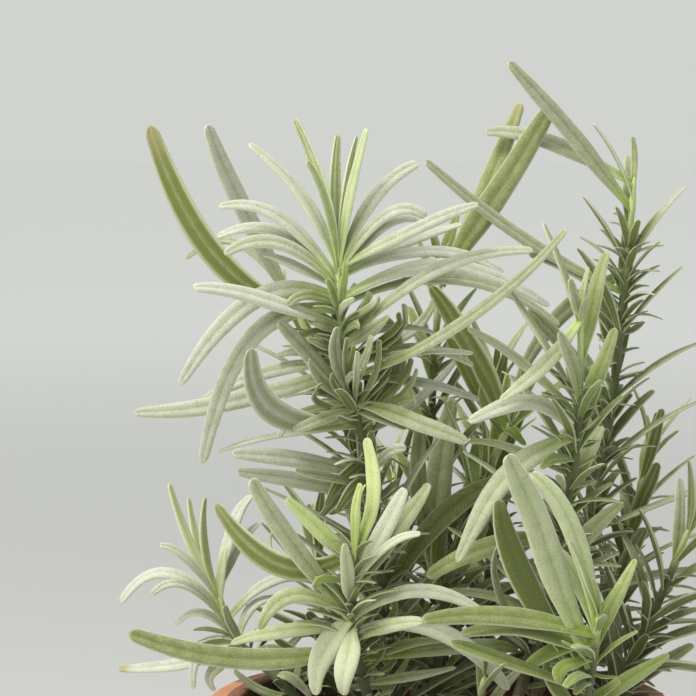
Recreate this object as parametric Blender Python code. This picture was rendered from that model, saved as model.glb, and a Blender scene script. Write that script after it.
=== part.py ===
"""A young English lavender in a terracotta pot, in metres, +Z up.

The pot stands on z = 0 with its axis on the Z axis. Compost fills it, and each leafy shoot stands in a
plain hole in the compost. A shoot is one solid, a stem with its leaves fused to it. Sizes below are in
millimetres, and MM turns them into metres where a mesh is made.
"""

import math
import random

import bmesh
import bpy
import numpy as np

MM = 0.001

POT_HEIGHT = 100.0
POT_RIM_RADIUS = 56.0
POT_BASE_RADIUS = 38.0
POT_WALL = 5.0
RIM_HEIGHT = 24.0
RIM_STEP = 3.0
BASE_THICKNESS = 7.0
DRAIN_HOLES = 3
DRAIN_RADIUS = 4.0
DRAIN_OFFSET = 18.0
POT_SIDES = 36

EDGE = 1.4
FILLET = 3.0
CUTTER_OVERRUN = 5.0

SOIL_HEIGHT = 90.0
SOIL_SHOULDER = 1.5
SOIL_GAP = 0.3
SOIL_LEVEL_SHARE = 0.8
HOLE_DEPTH = 12.0
HOLE_GAP = 0.3
HOLE_SIDES = 8

STEM_SIDES = 6
STEM_BASE_RADIUS = 1.5
STEM_TOP_RADIUS = 0.85
FEWEST_STATIONS = 6
STATION_EVERY = 20.0
STEM_SAMPLES = 12

BLADE_RISE = 0.42
BLADE_KEEL = 0.5
LONG_LEAF = 24.0
LONG_STATIONS = (0.0, 0.3, 0.66, 0.94)
SHORT_STATIONS = (0.0, 0.45, 0.9)
LEAF_ROOT_SHARE = 0.36
FULL_WIDTH_AT = 0.5
TAPER_FROM = 0.7
TAPER = 0.55

# A leaf keeps clear of the others in this many straight steps, but for the first few of them among
# the leaves of its own shoot, and of the pot but for the first share of its length.
LEAF_STEPS = 8
CROWDED_STEPS = 3
LEAF_MARGIN = 0.45
POT_MARGIN = 1.0
POT_FREE_SHARE = 0.15

# The front plane is y = 0. Leaf points are given as they look on it from this eye.
EYE = np.array([-21.9, -697.3, 245.9])

LEAF_COLOUR = (0.36, 0.42, 0.27, 1.0)
CLAY_COLOUR = (0.55, 0.24, 0.13, 1.0)
SOIL_COLOUR = (0.07, 0.05, 0.035, 1.0)


# Each shoot: where its stem leaves the compost, as (x, y), then points up the stem as
# (x, height, depth), where x and height are as seen on the front plane.
STEMS = {
    "shoot_middle": ((-9, -8), [(-14, 128, -12), (-17, 156, -14), (-20.5, 172, -15), (-23.5, 190, -15),
                                (-24.3, 205, -15)]),
    "shoot_front": ((-13, -22), [(-18, 104, -27), (-20.5, 115, -29), (-21, 125, -30), (-19.3, 147, -30)]),
    "shoot_right": ((15, -12), [(24, 118, -18), (30, 145, -21), (33, 165, -22), (33.5, 192, -22)]),
    "shoot_behind": ((2, 14), [(0, 130, 12), (-2, 165, 14), (0, 203, 15)]),
    "shoot_left_low": ((-31, 13), [(-38.5, 105, 16), (-45.5, 111, 21), (-50.5, 117, 25), (-53, 126, 26)]),
    "shoot_right_near": ((27, -26), [(32, 93, -33), (36, 104, -40), (38.5, 121, -45)]),
    "shoot_left_tall": ((-12, 10), [(-17, 140, 10), (-22, 165, 12), (-35.5, 197, 12)]),
    "shoot_right_tall": ((22, 14), [(33, 130, 14), (40, 165, 15), (44, 200, 16), (46, 226, 16)]),
    "shoot_inner": ((-1, -2), [(0, 118, -2), (5, 140, -1), (17, 168, 0)]),
    "shoot_back_left": ((-18, 30), [(-25, 112, 38), (-30, 140, 45)]),
    "shoot_back_middle": ((-4, 38), [(-8, 118, 44), (-11, 156, 50)]),
    "shoot_back": ((10, 30), [(12, 130, 38), (13, 175, 44)]),
    "shoot_back_right": ((30, 24), [(40, 120, 34), (50, 160, 42)]),
    "shoot_right_low": ((36, 0), [(50, 118, 0), (60, 142, -2)]),
    "shoot_front_low": ((8, -28), [(10, 99, -35), (11, 106, -38)]),
}

# Leaves placed one by one. Each row is the height of its root on the stem, then its middle (x, height)
# and its tip (x, height) as seen on the front plane, how far the middle and the tip lie behind the
# root, its width, and how far its upper face is turned: 0 faces the eye, 90 faces up, 180 faces away.
LEAVES = {
    "shoot_middle": [
        (205, -27.5, 222.0, -34.4, 239.6, 1, 2, 3.6, 130),
        (204, -26.8, 218.5, -31.6, 229.4, -2, -4, 3.0, 55),
        (205, -25.2, 220.0, -24.1, 235.5, 3, 6, 3.4, 140),
        (204, -21.8, 219.5, -17.7, 237.1, -1, -1, 3.4, 50),
        (203, -22.7, 222.0, -19.8, 235.2, 3, 7, 3.0, 120),
        (203, -31.5, 219.5, -45.2, 233.6, 3, 7, 4.2, 50),
        (204, -15.2, 221.5, -5.2, 228.8, 1, 3, 4.4, 45),
        (203, -13.0, 216.5, -3.3, 216.1, -3, -5, 3.8, 50),
        (201, -14.5, 213.3, -5.0, 215.2, 2, 5, 3.4, 55),
        (201, -38.0, 216.0, -52.5, 218.8, 2, 3, 4.2, 48),
        (200, -39.0, 212.7, -53.0, 211.4, 5, 8, 4.0, 48),
        (199, -38.0, 210.1, -51.2, 207.1, -3, -5, 4.4, 45),
        (199, -35.0, 205.0, -42.0, 207.0, 4, 6, 3.2, 50),
        (196.5, -44.0, 196.8, -62.0, 176.0, -4, -8, 5.0, 25),
        (190, -43.0, 197.0, -58.6, 199.4, -8, -14, 4.8, 42),
        (194, -44.5, 187.5, -57.0, 157.3, -3, -4, 5.2, 32),
        (201.5, -4.0, 208.2, 15.0, 203.0, 3, 4, 3.8, 50),
        (196.5, 1.0, 204.6, 26.0, 195.0, -3, -5, 4.8, 45),
        (195, 4.0, 201.4, 28.5, 190.5, 2, 3, 4.4, 60),
        (204, -6.0, 213.5, 9.0, 219.0, -6, -10, 4.0, 45),
        (203, -8.0, 210.0, 5.0, 214.5, 6, 10, 3.4, 60),
        (186, -1.0, 203.5, 22.0, 208.3, -8, -12, 4.0, 45),
        (178, 6.0, 191.5, 29.7, 213.2, -10, -15, 3.8, 48),
        (188, -27.0, 190.6, -31.6, 191.2, -3, -4, 3.4, 30),
        (172, -31.0, 183.0, -38.3, 191.4, -5, -9, 4.4, 30),
        (171, -27.5, 176.8, -31.3, 181.8, -4, -8, 3.2, 35),
        (180, -48.0, 172.5, -72.8, 169.7, 6, 8, 5.0, 25),
        (182, -43.0, 178.6, -57.0, 172.3, 10, 14, 4.0, 35),
        (168, -38.5, 169.0, -45.0, 184.8, -12, -32, 6.6, 160),
        (172, -7.5, 168.2, 6.5, 162.1, -8, -14, 4.8, 35),
        (170, -14.0, 168.0, -8.0, 165.5, -5, -9, 2.6, 45),
        (172, -28.5, 170.8, -36.0, 168.7, -4, -6, 2.8, 45),
        (170.5, -28.0, 168.0, -35.0, 165.4, -8, -13, 3.6, 38),
        (174, -22.2, 177.5, -18.4, 179.3, -5, -8, 2.2, 50),
        (154, -13.0, 159.3, -8.0, 160.8, -8, -12, 3.0, 40),
        (154, -35.0, 158.6, -49.5, 159.5, -6, -10, 4.8, 34),
        (150, -34.5, 153.2, -48.5, 155.5, -2, -4, 4.8, 34),
        (166, -40.0, 163.8, -53.0, 160.0, 4, 8, 2.6, 60),
        (152, -27.0, 154.0, -34.5, 155.7, -9, -14, 2.8, 45),
        (160, -22.5, 152.0, -28.5, 144.5, 3, 6, 4.0, 130),
        (152, -21.5, 148.2, -26.5, 145.0, 6, 9, 3.4, 130),
        (191.5, -23.5, 194.5, -20.3, 196.7, -4, -7, 2.2, 45),
        (185, -16.8, 189.0, -12.2, 192.9, -5, -8, 3.4, 30),
        (174, -18.4, 181.0, -16.3, 188.0, -6, -8, 2.6, 50),
        (173, -24.5, 182.0, -24.3, 190.0, -4, -6, 3.4, 30),
        (168, -10.5, 179.0, -12.6, 192.3, 5, 6, 4.4, 30),
        (164, -6.0, 172.0, 4.0, 182.5, 10, 12, 4.0, 60),
        (180, -7.0, 184.0, 7.9, 183.6, -4, -7, 2.6, 55),
        (186, -11.0, 190.0, -1.0, 188.3, 2, 3, 2.6, 55),
        (125, 1.0, 144.5, 16.5, 154.5, 4, 6, 5.8, 28),
    ],
    "shoot_front": [
        (135, -16.0, 150.0, -17.8, 163.3, -1, -1, 4.0, 35),
        (133, -20.3, 144.0, -19.0, 152.5, -3, -5, 2.8, 45),
        (124, -22.0, 130.0, -22.5, 138.0, -4, -6, 4.0, 35),
        (119.5, -35.0, 138.0, -45.0, 153.5, -3, -5, 5.4, 34),
        (133, -29.0, 141.3, -36.5, 149.0, 1, 2, 4.6, 30),
        (136, -38.5, 132.8, -53.5, 147.5, 3, 6, 6.2, 158),
        (120, -34.5, 125.5, -43.0, 117.0, -6, -10, 4.6, 36),
        (117, -37.5, 117.0, -50.0, 113.5, 4, 6, 4.6, 42),
        (113, -46.0, 110.0, -74.5, 116.5, 2, 6, 6.0, 28),
        (120, -27.6, 112.0, -29.5, 101.0, -3, -4, 6.4, 25),
        (118, -22.4, 109.0, -23.0, 101.0, -9, -10, 5.8, 25),
        (119.5, -6.0, 126.6, 11.8, 120.5, -3, -4, 4.4, 40),
        (116.5, -1.0, 117.0, 17.0, 102.5, -6, -6, 4.8, 34),
        (114.5, -11.0, 118.4, -4.0, 118.5, -8, -12, 4.0, 38),
        (108, -8.0, 113.5, 3.0, 114.5, 4, 6, 3.2, 48),
        (104, -8.0, 105.5, 4.0, 108.0, 3, 5, 3.4, 48),
        (127, -13.0, 142.5, -8.0, 151.0, -2, -3, 5.0, 34),
        (126, -9.5, 142.0, -2.8, 152.5, 3, 6, 4.8, 36),
        (127, -13.0, 137.0, -4.5, 140.3, -5, -8, 2.6, 50),
    ],
    "shoot_right": [
        (163.5, 22.5, 171.8, 6.8, 167.3, -4, -7, 4.8, 38),
        (192, 25.0, 181.5, 14.5, 172.3, -5, -9, 4.4, 38),
        (192, 32.0, 197.0, 31.0, 201.5, -2, -3, 3.0, 45),
        (172, 31.5, 181.5, 28.3, 188.8, -4, -6, 3.8, 35),
        (164, 17.0, 155.0, 4.0, 133.5, -6, -9, 6.0, 30),
        (138, 13.0, 137.8, -2.8, 129.5, -4, -6, 5.4, 32),
        (121, 13.0, 125.2, 1.0, 126.5, 2, 3, 3.4, 50),
        (112, 14.0, 127.0, 14.5, 138.0, -4, -5, 2.6, 50),
        (168, 20.0, 181.3, 6.5, 189.5, 12, 16, 3.8, 55),
        (154, 17.0, 161.0, 7.0, 162.5, 8, 12, 3.0, 55),
    ],
    "shoot_right_near": [
        (108, 24.5, 139.5, 16.5, 159.5, -4, -8, 7.2, 20),
        (118, 31.0, 143.0, 22.0, 155.0, 2, 4, 5.4, 30),
        (104, 19.5, 131.0, 14.0, 148.5, 3, 5, 6.4, 25),
        (116, 31.0, 132.5, 24.0, 137.5, 6, 9, 4.6, 40),
        (116, 15.0, 120.3, -4.0, 119.5, 6, 8, 5.4, 32),
        (111, 20.0, 117.3, 5.0, 116.0, 3, 4, 5.0, 38),
        (102, 14.0, 110.5, 3.0, 113.5, 4, 6, 4.4, 50),
        (98, 27.5, 104.0, 26.5, 110.8, 2, 3, 5.0, 50),
    ],
    "shoot_left_low": [
        (124, -59.5, 137.5, -64.5, 152.5, 2, 4, 3.6, 50),
        (125, -57.5, 136.5, -60.0, 149.0, 5, 8, 3.0, 50),
        (125, -56.2, 137.5, -56.0, 149.0, -3, -4, 3.0, 50),
        (122, -59.5, 133.5, -67.0, 137.3, -2, -3, 3.2, 50),
        (120, -65.0, 131.0, -76.5, 123.5, 1, 2, 4.0, 45),
        (118, -61.0, 128.0, -69.0, 125.3, -4, -6, 3.0, 50),
        (123, -52.6, 130.0, -51.0, 137.0, -1, -1, 3.2, 45),
        (119, -38.0, 129.8, -26.0, 126.0, 4, 8, 4.0, 50),
        (114, -45.0, 122.5, -38.0, 125.0, 3, 5, 3.4, 50),
        (116, -57.5, 121.3, -63.5, 118.0, 3, 5, 3.0, 50),
        (114, -57.5, 112.0, -59.0, 102.5, -2, -3, 3.2, 40),
        (113, -63.0, 108.8, -77.0, 107.5, 2, 4, 4.2, 45),
    ],
    "shoot_left_tall": [
        (194, -55.0, 209.0, -69.0, 237.6, 2, 4, 6.6, 164),
        (196, -46.0, 216.5, -55.0, 238.1, -3, -5, 5.4, 30),
        (195, -47.5, 209.8, -60.6, 206.2, 5, 8, 3.4, 55),
    ],
    "shoot_behind": [
        (200, 13.0, 221.5, 27.0, 243.0, 2, 4, 6.8, 24),
        (202, 10.5, 222.0, 18.7, 243.1, 6, 9, 5.4, 32),
    ],
    "shoot_right_tall": [
        (224, 26.0, 233.8, 10.6, 236.4, 2, 3, 4.8, 36),
        (218, 31.0, 235.8, 16.2, 253.0, -2, -3, 5.0, 34),
        (198, 20.0, 211.3, -3.6, 229.4, 1, 2, 4.0, 45),
        (194, 33.0, 202.5, 21.0, 207.5, -2, -3, 3.8, 55),
        (170, 29.0, 186.0, 21.0, 194.5, -8, -12, 4.4, 40),
        (203, 28.0, 192.0, 18.0, 176.0, 18, 24, 5.0, 30),
    ],
    "shoot_inner": [
        (166, 8.0, 184.5, -2.5, 199.5, 3, 5, 6.2, 152),
        (164, 7.0, 178.5, 2.5, 187.3, -3, -5, 4.0, 145),
        (124, -1.0, 149.0, 3.3, 172.9, 3, 6, 7.4, 18),
        (126, -4.5, 150.0, -4.5, 167.0, 6, 10, 5.0, 30),
        (128, -0.5, 136.0, 1.0, 144.0, -4, -6, 4.4, 50),
    ],
}

# Leaves that grow by rule, in pairs that turn a quarter from one pair to the next. Each row is the
# first and last height on the stem, the rise between pairs, the leaf length at the bottom and the top,
# the bearing of the first pair, and how many degrees round the front are left free of leaves.
PAIRS = {
    "shoot_middle": (98, 150, 9, 34, 30, 20, 150),
    "shoot_front": (96, 100, 8, 16, 14, 40, 150),
    "shoot_right": (112, 190, 8.5, 36, 26, 70, 170),
    "shoot_behind": (104, 203, 8, 34, 20, 30, 120),
    "shoot_left_low": (108, 112, 8, 24, 20, 90, 60),
    "shoot_right_near": (96, 121, 8, 26, 20, 60, 150),
    "shoot_left_tall": (104, 186, 8.5, 30, 26, 0, 120),
    "shoot_right_tall": (108, 226, 8, 40, 20, 10, 60),
    "shoot_inner": (100, 168, 8, 32, 24, 25, 120),
    "shoot_back_left": (98, 140, 7, 32, 18, 15, 0),
    "shoot_back_middle": (98, 156, 7.5, 34, 18, 50, 0),
    "shoot_back": (100, 175, 7.5, 38, 20, 35, 0),
    "shoot_back_right": (100, 160, 7.5, 36, 20, 5, 0),
    "shoot_right_low": (98, 142, 7, 34, 20, 25, 0),
    "shoot_front_low": (96, 106, 6, 20, 14, 35, 0),
}
WIDTH_OF_LENGTH = 0.125
SPREAD_LOW = 68.0
SPREAD_TOP = 24.0
BEARING_DRAW = 12.0
SPREAD_DRAW = 6.0
LENGTH_DRAW = (0.85, 1.1)
DROOP_DRAW = (0.02, 0.1)

# Where a leaf finds no room, it is tried at these shifts backwards, or turned and raised by these angles.
SHIFTS_TRIED = (0, 2, -2, 4, -4, 6, -6, 9, -9, 12, -12, 16, -16)
TURNS_TRIED = (0, 14, -14, 28, -28, 42, -42)
RAISES_TRIED = (0, 18)


def unit(v):
    return v / np.linalg.norm(v, axis=-1, keepdims=True)


def seen(x, height, depth):
    """The point at this depth that covers (x, height) on the front plane, seen from the eye."""
    reach = (depth - EYE[1]) / -EYE[1]
    return EYE + reach * (np.array([x, 0.0, height]) - EYE)


def bend(points, s):
    """Points at the shares s along the parabola through a root, a middle and a tip."""
    root, middle, tip = points
    handle = 2 * middle - (root + tip) / 2
    s = np.asarray(s, float)[:, None]
    return (1 - s) ** 2 * root + 2 * s * (1 - s) * handle + s**2 * tip


def heading(points, s):
    """Unit directions of the same parabola."""
    root, middle, tip = points
    handle = 2 * middle - (root + tip) / 2
    s = np.asarray(s, float)[:, None]
    return unit((1 - s) * (handle - root) + s * (tip - handle))


def axes(leaf, s):
    """Sideways and upper-face directions of a leaf at the shares s."""
    along = heading(leaf["points"], s)
    face = unit(leaf["up"] - (along @ leaf["up"])[:, None] * along)
    return np.cross(along, face), face


def stem_path(name):
    """Points up a stem, dense enough to read a place at any height, and their seen heights."""
    (x, y), marks = STEMS[name]
    knots = [np.array([x, y, SOIL_HEIGHT - HOLE_DEPTH + HOLE_GAP]), np.array([x, y, SOIL_HEIGHT + 1.0])]
    knots += [seen(*mark) for mark in marks]
    knots = np.array(knots)
    slopes = np.gradient(knots, axis=0)
    slopes[0] = slopes[1] = (0.0, 0.0, HOLE_DEPTH * 0.5)
    dense = []
    for a, b, slope_a, slope_b in zip(knots[:-1], knots[1:], slopes[:-1], slopes[1:]):
        s = np.linspace(0, 1, STEM_SAMPLES, endpoint=False)[:, None]
        dense.append((1 + 2 * s) * (1 - s) ** 2 * a + s * (1 - s) ** 2 * slope_a
                     + s**2 * (3 - 2 * s) * b + s**2 * (s - 1) * slope_b)
    dense = np.vstack(dense + [knots[-1:]])
    heights = EYE[2] + (dense[:, 2] - EYE[2]) * -EYE[1] / (dense[:, 1] - EYE[1])
    return dense, heights


def on_stem(stem, height):
    """The point of a stem seen at this height, and the stem's direction there."""
    dense, heights = stem
    here, above = (np.array([np.interp(h, heights, dense[:, k]) for k in range(3)])
                   for h in (height, height + 1.0))
    below = np.array([np.interp(height - 1.0, heights, dense[:, k]) for k in range(3)])
    return here, unit(above - below)


def placed_leaf(stem, row, shift):
    """A leaf of LEAVES, its middle and tip pushed back along the lines of sight by a shift."""
    height, mid_x, mid_z, tip_x, tip_z, mid_back, tip_back, width, turn = row
    root, _ = on_stem(stem, height)
    middle = seen(mid_x, mid_z, root[1] + mid_back + shift / 2)
    tip = seen(tip_x, tip_z, root[1] + tip_back + shift)
    points = np.array([root, middle, tip])
    along = heading(points, [0.5])[0]
    to_eye = EYE - middle
    to_eye = unit(to_eye - (to_eye @ along) * along)
    upward = np.cross(along, to_eye)
    if upward[2] < 0:
        upward = -upward
    angle = math.radians(turn)
    return {"points": points, "up": math.cos(angle) * to_eye + math.sin(angle) * upward, "width": width}


def rule_leaf(stem, height, bearing, length, spread, droop):
    """A leaf that leaves the stem at a bearing round it, and a spread away from the stem's direction."""
    root, rise = on_stem(stem, height)
    out = np.array([math.cos(math.radians(bearing)), math.sin(math.radians(bearing)), 0.0])
    out = unit(out - (out @ rise) * rise)
    angle = math.radians(spread)
    along = math.cos(angle) * rise + math.sin(angle) * out
    face = math.sin(angle) * rise - math.cos(angle) * out
    tip = root + length * along - 0.5 * droop * face
    middle = root + length * 0.5 * along + 0.5 * droop * face
    return {"points": np.array([root, middle, tip]), "up": face, "width": length * WIDTH_OF_LENGTH + 0.6}


def pieces_of_leaf(leaf):
    """A leaf as short straight lengths, each with its ends, sideways and face directions and halves."""
    s = np.linspace(0, 1, LEAF_STEPS + 1)
    line = bend(leaf["points"], s)
    side, face = axes(leaf, (s[:-1] + s[1:]) / 2)
    half = np.tile([leaf["width"] / 2, BLADE_KEEL], (LEAF_STEPS, 1))
    return line[:-1], line[1:], side, face, half


def pieces_of_stem(stem):
    line = stem[0][::4]
    count = len(line) - 1
    side = np.tile([1.0, 0.0, 0.0], (count, 1))
    face = np.tile([0.0, 1.0, 0.0], (count, 1))
    half = np.full((count, 2), STEM_BASE_RADIUS)
    return line[:-1], line[1:], side, face, half


def clear_of(new, old):
    """Whether straight lengths keep LEAF_MARGIN from others, both taken as flat ellipses across."""
    start, end, side, face, half = (a[:, None] for a in new)
    others = [a[None] for a in old]
    d1, d2, gap = end - start, others[1] - others[0], start - others[0]
    a, e, b = (d1 * d1).sum(-1), (d2 * d2).sum(-1), (d1 * d2).sum(-1)
    c, f = (d1 * gap).sum(-1), (d2 * gap).sum(-1)
    s = np.clip((b * f - c * e) / np.maximum(a * e - b * b, 1e-9), 0, 1)
    t = np.clip((b * s + f) / e, 0, 1)
    s = np.clip((b * t - c) / a, 0, 1)
    apart = gap + s[..., None] * d1 - t[..., None] * d2
    distance = np.maximum(np.linalg.norm(apart, axis=-1), 1e-6)
    way = apart / distance[..., None]
    reach = LEAF_MARGIN
    for across, normal, halves in ((side, face, half), (others[2], others[3], others[4])):
        wide = halves[..., 0] * (way * across).sum(-1)
        thick = halves[..., 1] * (way * normal).sum(-1)
        reach = reach + np.hypot(wide, thick)
    return bool((distance > reach).all())


def fits(leaf, shoot, placed):
    """Whether a leaf clears every other shoot, and its own shoot's leaves past their crowded roots."""
    new = pieces_of_leaf(leaf)
    others = [pieces for owner, pieces in placed if owner != shoot]
    if others and not clear_of(new, [np.concatenate(parts) for parts in zip(*others)]):
        return False
    own = [tuple(a[CROWDED_STEPS:] for a in pieces) for owner, pieces in placed if owner == shoot]
    outer = tuple(a[CROWDED_STEPS:] for a in new)
    return not own or clear_of(outer, [np.concatenate(parts) for parts in zip(*own)])


def clears_the_pot(leaf):
    """Whether a leaf keeps off the pot's wall and rim and out of the compost."""
    line = bend(leaf["points"], np.linspace(POT_FREE_SHARE, 1, LEAF_STEPS))
    round_axis = np.hypot(line[:, 0], line[:, 1])
    reach = leaf["width"] / 2 + POT_MARGIN
    low = line[:, 2] < POT_HEIGHT + reach
    at_wall = (round_axis > POT_RIM_RADIUS - POT_WALL - reach) & (round_axis < POT_RIM_RADIUS + reach)
    in_soil = (line[:, 2] < SOIL_HEIGHT + reach + POT_MARGIN) & (round_axis < POT_RIM_RADIUS)
    return not (low & (at_wall | in_soil)).any()


def grow():
    """All leaves by shoot. Those placed one by one come first, and later ones keep clear of them."""
    stems = {name: stem_path(name) for name in STEMS}
    placed = [(name, pieces_of_stem(stem)) for name, stem in stems.items()]
    leaves = {name: [] for name in STEMS}

    def try_to_add(name, candidates):
        for leaf in candidates:
            if clears_the_pot(leaf) and fits(leaf, name, placed):
                leaves[name].append(leaf)
                placed.append((name, pieces_of_leaf(leaf)))
                return

    for name, rows in LEAVES.items():
        for row in rows:
            try_to_add(name, (placed_leaf(stems[name], row, shift) for shift in SHIFTS_TRIED))
    for name, (low, high, rise, long, short, bearing, free) in PAIRS.items():
        draw = random.Random(name)
        count = int((high - low) / rise) + 1
        for pair in range(count):
            share = pair / max(count - 1, 1)
            for half in (0, 180):
                way = bearing + 90 * pair + half + draw.uniform(-BEARING_DRAW, BEARING_DRAW)
                if abs((way + 90 + 180) % 360 - 180) < free / 2:
                    continue
                length = (long + (short - long) * share) * draw.uniform(*LENGTH_DRAW)
                spread = SPREAD_LOW + (SPREAD_TOP - SPREAD_LOW) * share
                spread += draw.uniform(-SPREAD_DRAW, SPREAD_DRAW)
                droop = length * draw.uniform(*DROOP_DRAW)
                height = low + pair * rise
                try_to_add(name, (rule_leaf(stems[name], height, way + turn, length, spread - up, droop)
                                  for up in RAISES_TRIED for turn in TURNS_TRIED))
    return stems, leaves


def material(name, colour, roughness):
    made = bpy.data.materials.new(name)
    made.use_nodes = True
    shader = made.node_tree.nodes["Principled BSDF"]
    shader.inputs["Base Color"].default_value = colour
    shader.inputs["Roughness"].default_value = roughness
    return made


def add_object(name, bm, surface, collection):
    bmesh.ops.recalc_face_normals(bm, faces=bm.faces)
    mesh = bpy.data.meshes.new(name)
    bm.to_mesh(mesh)
    bm.free()
    mesh.materials.append(surface)
    made = bpy.data.objects.new(name, mesh)
    collection.objects.link(made)
    return made


def loft(rings, point=None):
    """A closed body through rings of points in millimetres, ending in a cap or in one point."""
    bm = bmesh.new()
    loops = [[bm.verts.new(corner * MM) for corner in ring] for ring in rings]
    for lower, upper in zip(loops[:-1], loops[1:]):
        for k in range(len(lower)):
            j = (k + 1) % len(lower)
            bm.faces.new((lower[k], lower[j], upper[j], upper[k]))
    bm.faces.new(loops[0][::-1])
    if point is None:
        bm.faces.new(loops[-1])
        return bm
    end = bm.verts.new(point * MM)
    last = loops[-1]
    for k in range(len(last)):
        bm.faces.new((last[k], last[(k + 1) % len(last)], end))
    return bm


def stem_body(stem):
    """A stem as a six-sided tube, straight in its hole, that thins towards its top."""
    dense = stem[0]
    length = np.linalg.norm(np.diff(dense, axis=0), axis=1).sum()
    stations = FEWEST_STATIONS + int(length / STATION_EVERY)
    above_hole = np.linspace(STEM_SAMPLES, len(dense) - 1, stations - 1).astype(int)
    line = dense[[0, *above_hole]]
    along = unit(np.gradient(line, axis=0))
    side = unit(np.cross(along, [0.0, 1.0, 0.0]))
    other = np.cross(along, side)
    radius = np.linspace(STEM_BASE_RADIUS, STEM_TOP_RADIUS, stations)
    turns = np.arange(STEM_SIDES) * 2 * math.pi / STEM_SIDES
    rings = [[line[i] + radius[i] * (math.cos(a) * side[i] + math.sin(a) * other[i]) for a in turns]
             for i in range(stations)]
    return loft(rings, line[-1] + along[-1] * radius[-1])


def blade_body(leaf):
    """A leaf blade: a lens across, with a raised upper face and a keel below, narrow at its root."""
    length = np.linalg.norm(np.diff(bend(leaf["points"], np.linspace(0, 1, 9)), axis=0), axis=1).sum()
    shares = LONG_STATIONS if length > LONG_LEAF else SHORT_STATIONS
    line = bend(leaf["points"], shares)
    side, face = axes(leaf, shares)
    rings = []
    for s, p, b, n in zip(shares, line, side, face):
        swell = math.sin(min(s / FULL_WIDTH_AT, 1.0) * math.pi / 2)
        broad = LEAF_ROOT_SHARE + (1 - LEAF_ROOT_SHARE) * swell
        taper = 1.0 - TAPER * (max(s - TAPER_FROM, 0.0) / (1 - TAPER_FROM)) ** 2
        half = leaf["width"] / 2 * broad * taper
        rings.append([p + half * b, p + BLADE_RISE * n, p - half * b, p - BLADE_KEEL * n])
    return loft(rings, bend(leaf["points"], [1.0])[0])


def largest_shell(obj):
    """Keeps the outer skin of a body, so that a sealed hollow is filled and a loose scrap is dropped."""
    bm = bmesh.new()
    bm.from_mesh(obj.data)
    unseen = set(bm.faces)
    shells = []
    while unseen:
        shell = set()
        front = [next(iter(unseen))]
        while front:
            face = front.pop()
            if face in shell:
                continue
            shell.add(face)
            front.extend(near for edge in face.edges for near in edge.link_faces)
        unseen -= shell
        shells.append(shell)
    shells.sort(key=len)
    loose = [face for shell in shells[:-1] for face in shell]
    bmesh.ops.delete(bm, geom=loose, context="FACES")
    bm.to_mesh(obj.data)
    bm.free()


def fused(body, others, operation, solver="EXACT"):
    """Applies one Boolean between a body and a collection, then removes the collection's objects."""
    modifier = body.modifiers.new("join", "BOOLEAN")
    modifier.operation = operation
    modifier.operand_type = "COLLECTION"
    modifier.collection = others
    modifier.solver = solver
    graph = bpy.context.evaluated_depsgraph_get()
    result = bpy.data.meshes.new_from_object(body.evaluated_get(graph))
    body.modifiers.remove(modifier)
    body.data = result
    for obj in list(others.objects):
        bpy.data.objects.remove(obj)
    bpy.data.collections.remove(others)
    largest_shell(body)


def helper_collection(name):
    made = bpy.data.collections.new(name)
    bpy.context.scene.collection.children.link(made)
    return made


def circle(radius, height, centre=(0.0, 0.0), sides=POT_SIDES):
    """A level ring of points."""
    turns = 2 * math.pi * np.arange(sides) / sides
    return np.column_stack([centre[0] + radius * np.cos(turns), centre[1] + radius * np.sin(turns),
                            np.full(sides, height)])


def inner_radius(height):
    """The radius of the pot's inside at a height."""
    outer = POT_BASE_RADIUS + (POT_RIM_RADIUS - RIM_STEP - POT_BASE_RADIUS) * height / POT_HEIGHT
    return outer - POT_WALL


def add_pot(collection):
    """The clay pot: a tapered wall, a thicker collar round the rim and a base with drain holes."""
    collar = POT_HEIGHT - RIM_HEIGHT
    profile = [
        (POT_BASE_RADIUS - EDGE, 0.0),
        (POT_BASE_RADIUS, EDGE),
        (inner_radius(collar) + POT_WALL, collar),
        (POT_RIM_RADIUS - EDGE, collar + EDGE / 2),
        (POT_RIM_RADIUS, POT_HEIGHT - EDGE),
        (POT_RIM_RADIUS - EDGE, POT_HEIGHT),
        (inner_radius(POT_HEIGHT) + EDGE, POT_HEIGHT),
        (inner_radius(POT_HEIGHT), POT_HEIGHT - EDGE),
        (inner_radius(BASE_THICKNESS + FILLET), BASE_THICKNESS + FILLET),
        (inner_radius(BASE_THICKNESS) - FILLET, BASE_THICKNESS),
    ]
    rings = [circle(radius, height) for radius, height in profile]
    pot = add_object("pot", loft(rings), material("terracotta", CLAY_COLOUR, 0.9), collection)
    cutters = helper_collection("drain holes")
    for k in range(DRAIN_HOLES):
        a = 2 * math.pi * k / DRAIN_HOLES
        centre = (DRAIN_OFFSET * math.cos(a), DRAIN_OFFSET * math.sin(a))
        rings = [circle(DRAIN_RADIUS, height, centre, HOLE_SIDES)
                 for height in (-CUTTER_OVERRUN, BASE_THICKNESS + CUTTER_OVERRUN)]
        add_object("hole", loft(rings), pot.data.materials[0], cutters)
    fused(pot, cutters, "DIFFERENCE")


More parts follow.
